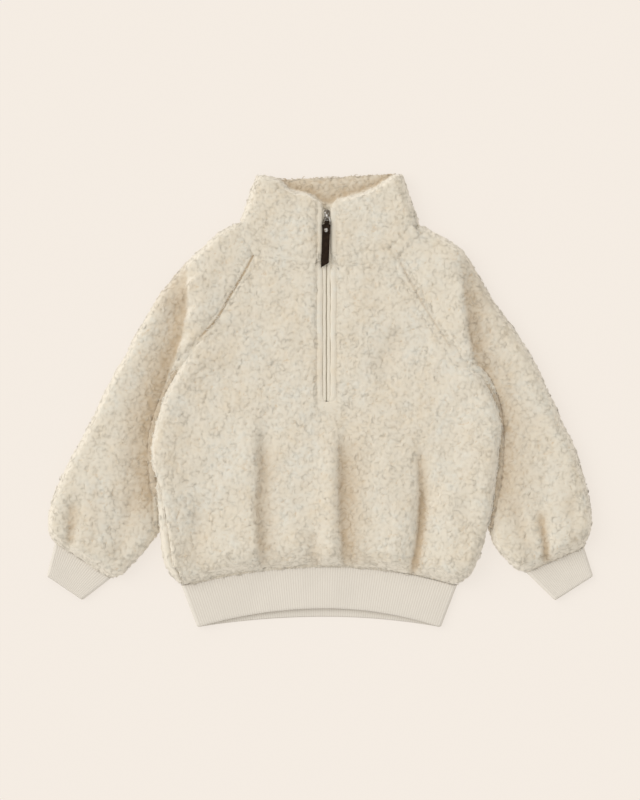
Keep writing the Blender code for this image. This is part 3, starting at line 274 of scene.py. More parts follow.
def swept_tube(
    path: np.ndarray,
    radii: np.ndarray,
    sides: int,
    squash: float = 1.0,
    sideways: tuple[float, float, float] | None = None,
) -> Shape:
    """Sweeps a round or flattened section along a path and closes its ends.

    Args:
        path: The path's points.
        radii: The section's radius at each point.
        sides: How many sides the section has.
        squash: The section's height as a share of its width.
        sideways: The way of its width, where it doesn't follow from the path.

    Returns:
        The points and the faces.
    """
    count = len(path)
    along = np.gradient(path, axis=0)
    along /= np.linalg.norm(along, axis=1, keepdims=True)
    up = np.array([0.0, 0.0, 1.0])
    across = np.cross(along, up) if sideways is None else np.tile(np.array(sideways), (count, 1))
    flat = np.linalg.norm(across, axis=1) < 1e-6
    across[flat] = np.cross(along[flat], np.array([0.0, 1.0, 0.0]))
    across /= np.linalg.norm(across, axis=1, keepdims=True)
    other = np.cross(across, along) * squash
    turn = np.linspace(0.0, 2.0 * math.pi, sides, endpoint=False)
    ring = np.cos(turn)[None, :, None] * across[:, None] + np.sin(turn)[None, :, None] * other[:, None]
    points = (path[:, None] + ring * np.asarray(radii)[:, None, None]).reshape(-1, 3)
    faces = [[face[0], *face[:0:-1]] for face in ring_faces(count, sides)]
    faces.append([*range(sides)])
    faces.append([(count - 1) * sides + j for j in reversed(range(sides))])
    return points, faces


def rounded_corners(knots: np.ndarray, radius: float, steps: int) -> np.ndarray:
    """Rounds the corners of a closed line in the plan or in space.

    Args:
        knots: The line's corners.
        radius: How far from each corner the rounding starts.
        steps: How many points each corner gets.

    Returns:
        The rounded line.
    """
    rows = []
    for before, corner, after in zip(np.roll(knots, 1, axis=0), knots, np.roll(knots, -1, axis=0)):
        start = corner + radius * (before - corner) / np.linalg.norm(before - corner)
        end = corner + radius * (after - corner) / np.linalg.norm(after - corner)
        for t in np.linspace(0.0, 1.0, steps):
            rows.append((1 - t) ** 2 * start + 2 * t * (1 - t) * corner + t * t * end)
    return np.array(rows)


class Batch:
    """Gathers many small shapes into one mesh."""

    def __init__(self) -> None:
        """Starts empty."""
        self.points: list[np.ndarray] = []
        self.faces: list[list[int]] = []
        self.count = 0

    def tube(self, path: np.ndarray, radii: np.ndarray, sides: int) -> None:
        """Adds a swept tube."""
        self.add(*swept_tube(path, radii, sides))

    def add(self, points: np.ndarray, faces: Iterable[Sequence[int]]) -> None:
        """Adds a shape that was made on its own.

        Args:
            points: The shape's points.
            faces: Its faces, counted from its own first point.
        """
        self.points.append(np.asarray(points))
        self.faces.extend([self.count + int(number) for number in face] for face in faces)
        self.count += len(points)

    def mesh(self, name: str, unit: float = 1.0) -> bpy.types.Mesh:
        """Gives the gathered shapes as one mesh, from shapes in the given unit."""
        return mesh_from(name, np.concatenate(self.points) * unit, self.faces)


def slab(outline: np.ndarray, low: float, high: float, edge: float, steps: int = 3) -> Shape:
    """Builds a flat slab with rounded edges.

    Args:
        outline: Its outline, anticlockwise.
        low: The height of its underside.
        high: The height of its upper side.
        edge: How far its edges are rounded.
        steps: How many steps the rounding has.

    Returns:
        The points and the faces.
    """
    run = np.roll(outline, -1, axis=0) - np.roll(outline, 1, axis=0)
    run /= np.linalg.norm(run, axis=1, keepdims=True)
    inward = np.stack([-run[:, 1], run[:, 0]], axis=1)
    angles = np.linspace(0.0, 0.5 * math.pi, steps + 1)
    levels = [(edge * (1 - math.sin(a)), low + edge * (1 - math.cos(a))) for a in angles]
    levels += [(inset, low + high - z) for inset, z in levels[::-1]]
    count = len(outline)
    points = np.concatenate([np.column_stack([outline + inset * inward, np.full(count, z)]) for inset, z in levels])
    faces = ring_faces(len(levels), count)
    faces.append([count - 1 - j for j in range(count)])
    faces.append([(len(levels) - 1) * count + j for j in range(count)])
    return points, faces


def turned(profile: Sequence[tuple[float, float]], steps: int, closed: bool) -> Shape:
    """Turns a profile about the Z axis.

    Args:
        profile: Its radii and heights, from below up along the outside.
        steps: How many steps make a full turn.
        closed: Whether the profile closes on itself, as a ring's does.

    Returns:
        The points and the faces.
    """
    turn = np.linspace(0.0, 2.0 * math.pi, steps, endpoint=False)
    points = np.concatenate([
        np.column_stack([radius * np.cos(turn), radius * np.sin(turn), np.full(steps, height)])
        for radius, height in profile
    ])
    count = len(profile)
    faces = ring_faces(count, steps, closed)
    if not closed:
        faces.append([steps - 1 - j for j in range(steps)])
        faces.append([(count - 1) * steps + j for j in range(steps)])
    return points, faces


def turn_outward(mesh: bpy.types.Mesh) -> None:
    """Turns the faces of a closed mesh outwards.

    Args:
        mesh: The mesh to change.
    """
    form = bmesh.new()
    form.from_mesh(mesh)
    bmesh.ops.recalc_face_normals(form, faces=form.faces)
    form.to_mesh(mesh)
    form.free()


# ---- Finishes ----


class Wires:
    """Short ways to add nodes to one material."""

    def __init__(self, tree: bpy.types.NodeTree) -> None:
        """Keeps the tree, its main shader, and what tells places and directions.

        Args:
            tree: The node tree that nodes are added to.
        """
        self.tree = tree
        self.shader = tree.nodes["Principled BSDF"]
        self.surface = tree.nodes.new("ShaderNodeNewGeometry")
        self.place = self.surface.outputs["Position"]

    def give(self, socket: bpy.types.NodeSocket, given: object) -> None:
        """Gives an input its value.

        Args:
            socket: The input.
            given: A socket to link, or a number or colour to set.
        """
        if isinstance(given, bpy.types.NodeSocket):
            self.tree.links.new(given, socket)
        else:
            socket.default_value = given

    def feed(self, name: str, given: object) -> None:
        """Gives an input of the main shader its value."""
        self.give(self.shader.inputs[name], given)

    def node(self, kind: str, values: dict[str | int, object]) -> bpy.types.Node:
        """Adds a node.

        Args:
            kind: What it is, by its type's name.
            values: What its inputs get, by their names or numbers.

        Returns:
            The new node.
        """
        node = self.tree.nodes.new("ShaderNode" + kind)
        for name, given in values.items():
            self.give(node.inputs[name], given)
        return node

    def noise(self, scale: float, detail: float = 3.0, rough: float = 0.5, bend: float = 0.0) -> bpy.types.NodeSocket:
        """Adds a noise of a scale in waves a metre, with finer layers, their strength, and a distortion."""
        values = {"Vector": self.place, "Scale": scale, "Detail": detail, "Roughness": rough, "Distortion": bend}
        return self.node("TexNoise", values).outputs["Fac"]

    def value(self, name: str) -> bpy.types.NodeSocket:
        """Reads a number stored on the mesh's points.

        Args:
            name: The attribute's name.

        Returns:
            Its value.
        """
        node = self.node("Attribute", {})
        node.attribute_name = name
        return node.outputs["Fac"]

    def slope(self) -> bpy.types.NodeSocket:
        """Reads how steep the surface is: 0 where it lies level, up to 1 where it is upright."""
        upward = self.node("SeparateXYZ", {"Vector": self.surface.outputs["Normal"]}).outputs["Z"]
        return self.math("SUBTRACT", 1.0, self.math("ABSOLUTE", upward))

    def math(self, kind: str, first: object, second: object = 0.0) -> bpy.types.NodeSocket:
        """Adds a sum.

        Args:
            kind: Which sum, by the node's own name.
            first: A socket or a number.
            second: A socket or a number.

        Returns:
            The result.
        """
        node = self.node("Math", {0: first, 1: second})
        node.operation = kind
        return node.outputs["Value"]

    def spread(self, start: bpy.types.NodeSocket, low: float, high: float) -> bpy.types.NodeSocket:
        """Stretches the values between two limits to 0 and 1, smoothly.

        Args:
            start: The values.
            low: What becomes 0.
            high: What becomes 1.

        Returns:
            The stretched values.
        """
        node = self.node("MapRange", {"Value": start, "From Min": low, "From Max": high})
        node.interpolation_type = "SMOOTHSTEP"
        return node.outputs["Result"]

    def mix(self, share: bpy.types.NodeSocket, first: object, second: object) -> bpy.types.NodeSocket:
        """Mixes two colours.

        Args:
            share: 0 gives the first colour, 1 the second.
            first: A colour socket or three numbers.
            second: A colour socket or three numbers.

        Returns:
            The mixed colour.
        """
        node = self.tree.nodes.new("ShaderNodeMix")
        node.data_type = "RGBA"
        self.give(node.inputs["Factor"], share)
        for name, given in (("A", first), ("B", second)):
            socket = next(s for s in node.inputs if s.name == name and s.type == "RGBA")
            self.give(socket, (*given, 1.0) if isinstance(given, tuple) else given)
        return next(s for s in node.outputs if s.type == "RGBA")

    def bump(self, height: bpy.types.NodeSocket, depth: float, strength: float) -> bpy.types.NodeSocket:
        """Turns a height from 0 to 1 into a bumped normal, with a depth in metres and a strength."""
        return self.node("Bump", {"Height": height, "Distance": depth, "Strength": strength}).outputs["Normal"]


@dataclass(frozen=True)
class Finish:
    """What every finish has: a name, a slot, a colour, its gloss, and a way to make its material."""

    name: str
    slot: Slot
    color: Color
    roughness: float = 0.5
    specular: float = 0.5
    sheen: float = 0.0

    def material(self) -> bpy.types.Material:
        """Makes the material once and gives it back each time.

        Returns:
            The material.
        """
        found = bpy.data.materials.get(self.name)
        if found is None:
            found = bpy.data.materials.new(self.name)
            found.use_nodes = True
            wires = Wires(found.node_tree)
            wires.feed("Roughness", self.roughness)
            wires.feed("Specular IOR Level", self.specular)
            wires.feed("Sheen Weight", self.sheen)
            self.dress(wires)
            found.diffuse_color = (*self.color, 1.0)
        return found

    def darker(self, share: float) -> Color:
        """Gives the finish's colour, darkened to a share."""
        return tuple(share * value for value in self.color)

    def dress(self, wires: Wires) -> None:
        """Adds the material's nodes."""
        wires.feed("Base Color", (*self.color, 1.0))


@dataclass(frozen=True)
class Fleece(Finish):
    """Cream pile, with painted shade, warmer and darker, down between its curls and in the folds, and painted light on
    its steep sides.
    """

    roughness: float = 0.95
    specular: float = 0.15
    sheen: float = 0.35
    # Painted shade: the colour that folds, seams, stitch lines and the collar's inside darken towards
    painted_shade: Color = (0.54, 0.425, 0.29)
    # Painted shade: the darker, warmer colour down between the curls
    crevice_shade: Color = (0.66, 0.535, 0.385)
    warm: Color = (0.745, 0.66, 0.525)
    cool: Color = (0.745, 0.71, 0.62)
    # Painted light: the paler colour given to the pile's steep sides
    rim: Color = (0.85, 0.785, 0.67)
    patch_scale: float = 28.0
    fibre_scale: float = 900.0
    fibre_depth: float = 0.0006

    def dress(self, wires: Wires) -> None:
        """Wires pile height and folds to painted shade, slope to painted light, and patches and fibres to colour and
        bump.

        Args:
            wires: Where the material's nodes are added.
        """
        patches = wires.spread(wires.noise(self.patch_scale, 4.0, 0.6), 0.35, 0.65)
        curls = wires.mix(patches, self.cool, self.warm)
        body = wires.mix(wires.spread(wires.noise(self.patch_scale * 5, 2.0), 0.3, 0.7), self.color, curls)
        height = wires.value("pile")
        # Painted shade down between the curls, where the pile is low
        shade = wires.mix(wires.spread(height, 0.0, 0.5), self.crevice_shade, body)
        # Painted light: steep sides turn paler
        shade = wires.mix(wires.spread(wires.slope(), 0.1, 0.36), shade, self.rim)
        # Painted shade of the folds, seams, stitch lines and the collar's inside, by the stored fold value
        fold = wires.mix(wires.value("fold"), shade, self.painted_shade)
        wires.feed("Base Color", fold)
        fibres = wires.noise(self.fibre_scale, 3.0, 0.6, 1.5)
        wires.feed("Normal", wires.bump(fibres, self.fibre_depth, 0.6))
        wires.feed("Sheen Roughness", 0.45)
        wires.feed("Sheen Tint", (1.0, 0.97, 0.92, 1.0))


FLEECE = Fleece("cream_fleece", Slot.FLEECE, (0.75, 0.685, 0.57))


@dataclass(frozen=True)
class RibKnit(Finish):
    """Fine rib knit: rows of small stitches, with painted shade down between the ribs."""

    roughness: float = 0.92
    specular: float = 0.15
    sheen: float = 0.1
    # Painted shade: the colour down between the ribs
    painted_shade: Color = (0.66, 0.60, 0.52)
    stitch: float = 1.5 * MM
    depth: float = 0.00022

    def dress(self, wires: Wires) -> None:
        """Wires ribs and stitches to colour and bump.

        Args:
            wires: Where the material's nodes are added.
        """
        ridge = wires.value("pile")
        slant = wires.math("PINGPONG", wires.value("rib"), 0.5)
        turns = wires.math("ADD", wires.math("DIVIDE", wires.value("run"), self.stitch), slant)
        wave = wires.math("SINE", wires.math("MULTIPLY", turns, 2.0 * math.pi))
        stitch = wires.spread(wave, -1.0, 1.0)
        fuzz = wires.noise(1400.0, 2.0, 0.6)
        height = wires.math("ADD", wires.math("MULTIPLY", stitch, 0.7), wires.math("MULTIPLY", fuzz, 0.5))
        cloud = wires.spread(wires.noise(35.0, 3.0), 0.3, 0.7)
        tone = wires.mix(cloud, self.color, self.darker(0.96))
        # Painted shade down between the ribs, by the stored ridge value
        shade = wires.mix(wires.spread(ridge, -0.2, 0.75), self.painted_shade, tone)
        wires.feed("Base Color", shade)
        wires.feed("Normal", wires.bump(height, self.depth, 0.7))


@dataclass(frozen=True)
class Woven(Finish):
    """Woven tape: fine slanted threads, with painted shade a little darker between them."""

    roughness: float = 0.8
    specular: float = 0.25
    sheen: float = 0.1
    thread: float = 700.0
    depth: float = 0.00012

    def dress(self, wires: Wires) -> None:
        """Wires the weave to colour and bump.

        Args:
            wires: Where the material's nodes are added.
        """
        weave = wires.node("TexWave", {"Vector": wires.place, "Scale": self.thread, "Distortion": 1.5})
        weave.wave_type = "BANDS"
        weave.bands_direction = "DIAGONAL"
        # Painted shade: darker between the threads
        wires.feed("Base Color", wires.mix(weave.outputs["Fac"], self.darker(0.82), self.color))
        wires.feed("Normal", wires.bump(weave.outputs["Fac"], self.depth, 0.7))


@dataclass(frozen=True)
class Thread(Finish):
    """Spun sewing thread with a slight twist."""

    roughness: float = 0.7

    def dress(self, wires: Wires) -> None:
        """Wires a fine twist to the bump.

        Args:
            wires: Where the material's nodes are added.
        """
        twist = wires.noise(2500.0, 2.0, 0.5, 0.8)
        wires.feed("Base Color", wires.mix(twist, self.darker(0.85), self.color))
        wires.feed("Normal", wires.bump(twist, 0.0001, 0.6))


@dataclass(frozen=True)
class Nylon(Finish):
    """Smooth moulded nylon of the coil."""

    roughness: float = 0.4

    def dress(self, wires: Wires) -> None:
        """Wires a faint unevenness to colour."""
        cloud = wires.noise(500.0, 2.0)
        wires.feed("Base Color", wires.mix(cloud, self.darker(0.93), self.color))


@dataclass(frozen=True)
class Nickel(Finish):
    """Polished nickel plate with fine rubbing marks, darker in random patches."""

    dark_patch: Color = (0.16, 0.135, 0.105)

    def dress(self, wires: Wires) -> None:
        """Wires darker random patches to colour, and rubbing marks to gloss and bump.

        Args:
            wires: Where the material's nodes are added.
        """
        marks = wires.noise(1800.0, 4.0, 0.6, 0.6)
        cloud = wires.spread(wires.noise(350.0, 3.0), 0.33, 0.58)
        wires.feed("Base Color", wires.mix(cloud, self.color, self.dark_patch))
        wires.feed("Roughness", wires.spread(marks, -0.6, 2.2))
        wires.feed("Normal", wires.bump(marks, 0.00003, 0.4))
        wires.feed("Metallic", 1.0)


@dataclass(frozen=True)
class Leather(Finish):
    """Dark brown leather with fine grain, a little lighter where it is rubbed."""

    roughness: float = 0.7
    specular: float = 0.12
    rubbed: Color = (0.03, 0.017, 0.009)
    grain: float = 1500.0

    def dress(self, wires: Wires) -> None:
        """Wires the grain to the bump, and rubbed patches to colour.

        Args:
            wires: Where the material's nodes are added.
        """
        grain = wires.node("TexVoronoi", {"Vector": wires.place, "Scale": self.grain})
        grain.feature = "DISTANCE_TO_EDGE"
        cell = wires.spread(grain.outputs["Distance"], 0.0, 0.16)
        patch = wires.spread(wires.noise(260.0, 3.0), 0.42, 0.75)
        wires.feed("Base Color", wires.mix(patch, self.color, self.rubbed))
        wires.feed("Normal", wires.bump(cell, 0.00007, 0.6))


RIB = RibKnit("cream_rib", Slot.RIB, (0.775, 0.725, 0.645))
TAPE = Woven("woven_tape", Slot.TAPE, (0.84, 0.775, 0.65))
THREAD = Thread("sewing_thread", Slot.TAPE, (0.70, 0.64, 0.53))
COIL = Nylon("coil_nylon", Slot.COIL, (0.70, 0.65, 0.56))
NICKEL = Nickel("nickel_plate", Slot.NICKEL, (0.62, 0.60, 0.57))
LEATHER = Leather("brown_leather", Slot.LEATHER, (0.015, 0.0078, 0.0036))


# ---- The pile of the fleece ----


@dataclass(frozen=True)
class Fold:
    """A crease: a soft trough or ridge along a line, with its own depth and widths."""

    line: Line
    depth: float
    right: float
    left: float
    # Painted shade along the crease
    shade: float = 0.0
    steps: int = 14
    fade_in: float = 0.25
    fade_out: float = 0.82

    def lift(self, plan: np.ndarray) -> tuple[np.ndarray, np.ndarray]:
        """Works out the crease's height and shade.

        Args:
            plan: Points as an array of x and y, in millimetres.

        Returns:
            What it adds to each point's height in millimetres, and how much painted shade it gives it.
        """
        curve = smooth_curve(self.line, self.steps)
        signed, share = distance_to_curve(plan, curve)
        width = np.where(signed < 0, self.right, self.left)
        fade = ease(0.0, self.fade_in, share) * ease(1.0, self.fade_out, share)
        bell = np.exp(-((signed / width) ** 2)) * fade
        return self.depth * bell, self.shade * bell


@dataclass
class Pile:
    """How the curled pile of the fleece is raised."""

    curl: float = 8.0 * MM
    curl_slope: float = 4.5
    curl_share: float = 0.64
    fine: float = 3.2 * MM
    fine_slope: float = 3.2
    fine_share: float = 0.36
    height: float = 1.2 * MM
    swirl: float = 6.0 * MM
    swell: float = 26.0 * MM
    swell_height: float = 1.6 * MM
    pressed: float = 0.3

    def swells(self, points: np.ndarray) -> np.ndarray:
        """Works out the broad soft lumps of the pile, in metres up or down."""
        rate = 1.0 / self.swell
        return self.swell_height * np.array([noise.noise(Vector(point) * rate) for point in points.tolist()])

    def field(self, points: np.ndarray) -> np.ndarray:
        """Works out the pile's height, from 0 down between the curls to 1 on a curl, which the finishes also turn into
        painted shade.

        Args:
            points: Where to read it.

        Returns:
            One height for each point.
        """
        heights = np.empty(len(points))
        shift = Vector((7.0, 3.0, 1.0))
        for number, point in enumerate(points.tolist()):
            place = Vector(point)
            bend = noise.noise_vector(place / (2.2 * self.curl)) * self.swirl
            bend += noise.noise_vector(place / (0.9 * self.curl)) * (0.45 * self.swirl)
            moved = place + bend
            lump = min(1.0, abs(noise.noise(moved / self.curl)) * self.curl_slope)
            small = min(1.0, abs(noise.noise(moved / self.fine + shift)) * self.fine_slope)
            heights[number] = self.curl_share * lump**0.7 + self.fine_share * small**0.8
        return heights


@dataclass
class Locks:
    """Curled locks of pile that lie over a panel of fleece."""

    spacing: float = 5.0 * MM
    radius: tuple[float, float] = (1.6 * MM, 5.0 * MM)
    turn: tuple[float, float] = (1.4, 3.8)
    thickness: tuple[float, float] = (0.4 * MM, 0.75 * MM)
    lift: tuple[float, float] = (-0.25 * MM, 0.3 * MM)
    root: float = -0.4 * MM
    lowest: float = 1.0 * MM
    softness: float = 3.4
    steps: int = 6
    sides: int = 3

    def seeds(self, places: np.ndarray, draw: np.random.Generator) -> np.ndarray:
        """Picks about one place in every cell of the spacing.

        Args:
            places: The places to choose from.
            draw: The source of chance.

        Returns:
            The numbers of the chosen places.
        """
        order = draw.permutation(len(places))
        cells = np.floor(places[order] / self.spacing).astype(int)
        _, first = np.unique(cells, axis=0, return_index=True)
        return order[first]

    def grow(
        self, places: np.ndarray, normals: np.ndarray, shade: np.ndarray, seed: int, stand: np.ndarray | float = 0.0
    ) -> bpy.types.Mesh:
        """Grows one curled lock at each place.

        Args:
            places: Where the locks stand.
            normals: The surface's directions there.
            shade: How much painted shade the folds give each place.
            seed: What the draws start from.
            stand: How far the locks stand out beyond their usual lift.

        Returns:
            A mesh of closed locks, with the values that the finish reads.
        """
        draw = np.random.default_rng(seed)
        count, steps, sides = len(places), self.steps, self.sides
        t = np.linspace(0.0, 1.0, steps)
        first = draw.uniform(0.0, 2.0 * math.pi, count)
        turn = draw.uniform(*self.turn, count) * draw.choice((-1.0, 1.0), count)
        radius = draw.uniform(*self.radius, count)
        angle = first[:, None] + turn[:, None] * t
        shrink = radius[:, None] * (1.0 - draw.uniform(0.0, 0.55, count)[:, None] * t)
        flat = np.stack([shrink * np.cos(angle), shrink * np.sin(angle)], axis=-1)
        flat -= flat.mean(axis=1, keepdims=True)
        rise = self.root + (draw.uniform(*self.lift, count) - self.root)[:, None] * np.sin(math.pi * t) ** 0.7
        rise += (stand * draw.uniform(0.2, 1.0, count))[:, None] * t**1.5
        helper = np.where(np.abs(normals[:, 2:]) > 0.8, (1.0, 0.0, 0.0), (0.0, 0.0, 1.0))
        u = np.cross(normals, helper)
        u /= np.linalg.norm(u, axis=1, keepdims=True)
        v = np.cross(normals, u)
        path = places[:, None] + flat[..., :1] * u[:, None] + flat[..., 1:] * v[:, None]
        path = path + rise[..., None] * normals[:, None]
        path[..., 2] = np.maximum(path[..., 2], self.lowest)
        along = np.gradient(path, axis=1)
        along /= np.linalg.norm(along, axis=2, keepdims=True)
        side = np.cross(along, normals[:, None])
        side /= np.linalg.norm(side, axis=2, keepdims=True)
        up = np.cross(side, along)
        girth = draw.uniform(*self.thickness, count)[:, None] * (0.3 + 0.7 * np.sin(math.pi * t) ** 0.6)
        around = np.linspace(0.0, 2.0 * math.pi, sides, endpoint=False) + 0.5 * math.pi
        ring = np.cos(around)[:, None] * side[:, :, None] + np.sin(around)[:, None] * up[:, :, None]
        points = path[:, :, None] + girth[:, :, None, None] * ring
        faces = self.faces(count)
        mesh = bpy.data.meshes.new("locks")
        mesh.from_pydata(points.reshape(-1, 3).tolist(), [], faces)
        mesh.shade_smooth()
        lit = normals + np.array([0.0, 0.0, 0.8]) * (1.0 - np.abs(normals[:, 2:]))
        round_up = ring + self.softness * lit[:, None, None]
        round_up /= np.linalg.norm(round_up, axis=3, keepdims=True)
        mesh.normals_split_custom_set_from_vertices(round_up.reshape(-1, 3).tolist())
        # Painted light and shade: each lock's upper side gets a higher pile value and its under sides and ends a lower
        # one, so the finish paints them lighter and darker
        lit_top = 0.6 + 0.4 * np.clip(np.sin(around), 0.0, 1.0)
        high = np.broadcast_to((0.3 + 0.7 * np.sin(math.pi * t))[None, :, None] * lit_top, (count, steps, sides))
        tone = draw.uniform(0.75, 1.0, count)[:, None, None]
        add_values(mesh, "pile", (high * tone).ravel())
        # Painted shade of the folds, carried onto the locks with some random spread
        add_values(mesh, "fold", np.repeat(shade * draw.uniform(0.5, 1.3, count), steps * sides))
        return mesh

    def faces(self, count: int) -> list[tuple[int, ...]]:
        """Lists the faces of all locks.

        Args:
            count: How many locks there are.

        Returns:
            Their faces, ends included.
        """
        steps, sides = self.steps, self.sides
        shape = np.array([(face[0], *face[:0:-1]) for face in ring_faces(steps, sides)])
        size = steps * sides
        starts = np.arange(count)[:, None, None] * size
        walls = (starts + shape).reshape(-1, 4)
        ends = np.array([[*range(sides)], [size - sides + j for j in reversed(range(sides))]])
        caps = (starts + ends).reshape(-1, sides)
        return [tuple(face) for face in walls.tolist()] + [tuple(face) for face in caps.tolist()]


@dataclass
class FleecePanel:
    """One panel of fleece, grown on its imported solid."""

    node: str
    flat: tuple[float, float]
    area: float
    rests_on: tuple[str, ...] = ()
    folds: tuple[Fold, ...] = ()
    hollow: bool = False
    wall: float = 2.5 * MM
    voxel: float = 3.0 * MM
    under_folds: tuple[Fold, ...] = ()
    puff: float = 0.8 * MM
    fringe: float = 1.1 * MM
    inner_level: float = 9.8 * MM
    stitch_half: float = 1.1 * MM
    stitch_sink: float = 0.4
    stitch_shade: float = 0.2
    inside_sink: float = 2.0
    inside_reach: float = 4.0
    deepest: float = 0.95
    seed: int = 1
    finish: Fleece = FLEECE
    pile: Pile = field(default_factory=Pile)
    locks: Locks = field(default_factory=Locks)

    def base(self) -> bpy.types.Mesh:
        """Remeshes a copy of the solid into even faces, finer where it shows.

        Returns:
            The new mesh.
        """
        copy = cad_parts[self.node].data.copy()
        form = bmesh.new()
        form.from_mesh(copy)
        bmesh.ops.remove_doubles(form, verts=form.verts, dist=1e-6)
        form.to_mesh(copy)
        form.free()
        helper = bpy.data.objects.new(self.node + "_form", copy)
        bpy.context.scene.collection.objects.link(helper)
        remesh = helper.modifiers.new("even", "REMESH")
        remesh.mode = "VOXEL"
        remesh.voxel_size = self.voxel
        even = helper.modifiers.new("soften", "SMOOTH")
        even.factor = 0.5
        even.iterations = 2
        graph = bpy.context.evaluated_depsgraph_get()
        mesh = bpy.data.meshes.new_from_object(helper.evaluated_get(graph))
        bpy.data.objects.remove(helper)
        form = bmesh.new()
        form.from_mesh(mesh)
        form.normal_update()
        lining = self.inner_skin(form) if self.hollow else None
        shown = {face for face in form.faces if self.is_shown(face.calc_center_median(), face.normal)}
        edges = {edge for face in shown for edge in face.edges}
        bmesh.ops.subdivide_edges(form, edges=list(edges), cuts=1, use_grid_fill=True)
        bmesh.ops.triangulate(form, faces=[face for face in form.faces if len(face.verts) > 4])
        self.skin_points = len(form.verts)
        if lining:
            points, faces = lining
            made = [form.verts.new(point) for point in points]
            for face in faces:
                form.faces.new([made[number] for number in face])
        form.to_mesh(mesh)
        form.free()
        mesh.shade_smooth()
        return mesh

    def inner_skin(self, form: bmesh.types.BMesh) -> tuple[list[Vector], list[list[int]]]:
        """Works out the inner side of a tube of cloth, one wall in from its outer side.

        Args:
            form: The outer side.

        Returns:
            The inner side's points, and its faces turned inwards.
        """
        form.verts.index_update()
        points = [vert.co - vert.normal * self.wall for vert in form.verts]
        faces = [[vert.index for vert in reversed(face.verts)] for face in form.faces]
        return points, faces

    def is_shown(self, center: Vector, normal: Vector) -> bool:
        """Tells whether a face is seen from above or from the sides."""
        return normal.z > -0.35 and center.z > 3.0 * MM and not self.is_inner(center, normal)

    def is_inner(self, center: Vector, normal: Vector) -> bool:
        """Tells whether a face lies on the inside of the garment."""
        return self.node == "back" and normal.z > 0.4 and center.z < self.inner_level

    def build(self) -> bpy.types.Object:
        """Returns:
            The panel's piece.
        """
        mesh = self.base()
        points, normals = mesh_points(mesh), point_normals(mesh)
        plan = points[:, :2] / MM
        lift, shade = np.zeros(len(points)), np.zeros(len(points))
        for fold in self.folds:
            raised, darker = fold.lift(plan)
            lift += raised
            shade += darker
        if self.node in ("front", "collar"):
            line = self.stitch_line(points)
            lift -= self.stitch_sink * line
            shade += self.stitch_shade * line
        if self.node == "collar":
            inside = self.inside_shade(plan)
            shade += inside
            lift -= self.inside_sink * inside
        outward = ease(-0.2, 0.5, normals[:, 2])
        points[:, 2] += lift * MM * outward
        under = ease(-0.3, -0.8, normals[:, 2])
        under[self.skin_points:] = 0.0
        for fold in self.under_folds:
            raised, _ = fold.lift(plan)
            points[:, 2] += raised * MM * under
        heights = self.pile.field(points)
        standing = self.pile.pressed + (1.0 - self.pile.pressed) * ease(-0.6, 0.1, normals[:, 2])
        standing *= 1.0 - 0.85 * self.is_bare(points)
        raise_by = standing * (self.pile.height * (heights - 0.5) + self.pile.swells(points))
        raise_by += self.puff * ease(0.6, 0.0, normals[:, 2]) * ease(-0.9, -0.5, normals[:, 2])
        raise_by[self.skin_points:] = 0.0
        points += normals * raise_by[:, None]
        points[:, 2] = np.maximum(points[:, 2], 0.0)
        set_points(mesh, points)
        # The pile's height, which the finish also turns into painted shade down between the curls
        add_values(mesh, "pile", heights)
        # Painted shade of the folds, stitch lines and the collar's inside, stronger down between the curls
        add_values(mesh, "fold", np.clip(shade * (1.4 - 0.7 * heights), 0.0, self.deepest))
        piece = put(f"fleece_{self.node}", mesh, self.finish, Body.GARMENT, (self.node,))
        curls = self.cover(mesh, shade)
        return piece

    def cover(self, mesh: bpy.types.Mesh, shade: np.ndarray) -> bpy.types.Object:
        """Covers the panel's shown side with locks of pile.

        Args:
            mesh: The panel's own mesh.
            shade: How much painted shade the folds give each of its points.

        Returns:
            The locks, as one piece.
        """
        points, normals = mesh_points(mesh), point_normals(mesh)
        shown = np.arange(len(points)) < self.skin_points
        shown &= normals[:, 2] > -0.25
        shown &= points[:, 2] > 2.0 * MM
        shown &= self.is_bare(points) < 0.5
        if self.node == "back":
            shown &= ~((normals[:, 2] > 0.3) & (points[:, 2] < self.inner_level))
        numbers = np.flatnonzero(shown)
        draw = np.random.default_rng(self.seed)
        chosen = numbers[self.locks.seeds(points[numbers], draw)]
        stand = self.fringe * ease(0.5, 0.0, normals[chosen][:, 2])
        dark = np.clip(shade[chosen], 0.0, self.deepest)
        curls = self.locks.grow(points[chosen], normals[chosen], dark, self.seed + 100, stand)
        return put(f"pile_{self.node}", curls, self.finish, Body.GARMENT)

    def inside_shade(self, plan: np.ndarray) -> np.ndarray:
        """Tells how shaded the inside of the collar's back is, seen above the front's edges.

        Args:
            plan: Points as an array of x and y, in millimetres.

        Returns:
            One shade for each point.
        """
        edge = np.interp(plan[:, 0], COLLAR_OPENING[0], COLLAR_OPENING[1], left=300.0, right=300.0)
        inside = ease(0.0, self.inside_reach, plan[:, 1] - edge)
        band = 0.5 + 0.45 * np.exp(-(((plan[:, 1] - edge - 5.0) / 6.0) ** 2))
        return inside * band

    def stitch_line(self, points: np.ndarray) -> np.ndarray:
        """Tells how near points are to the two lines stitched beside the zip.

        Args:
            points: The points, in metres.

        Returns:
            1 on a line, down to 0 away from both.
        """
        away = np.abs(np.abs(points[:, 0] - ZIP_X) - STITCH_LINE)
        above = ease(ZIP_FOOT - 2.0 * MM, ZIP_FOOT + 2.0 * MM, points[:, 1])
        return np.exp(-((away / self.stitch_half) ** 2)) * above * ease(*FRONT_LEVEL, points[:, 2])

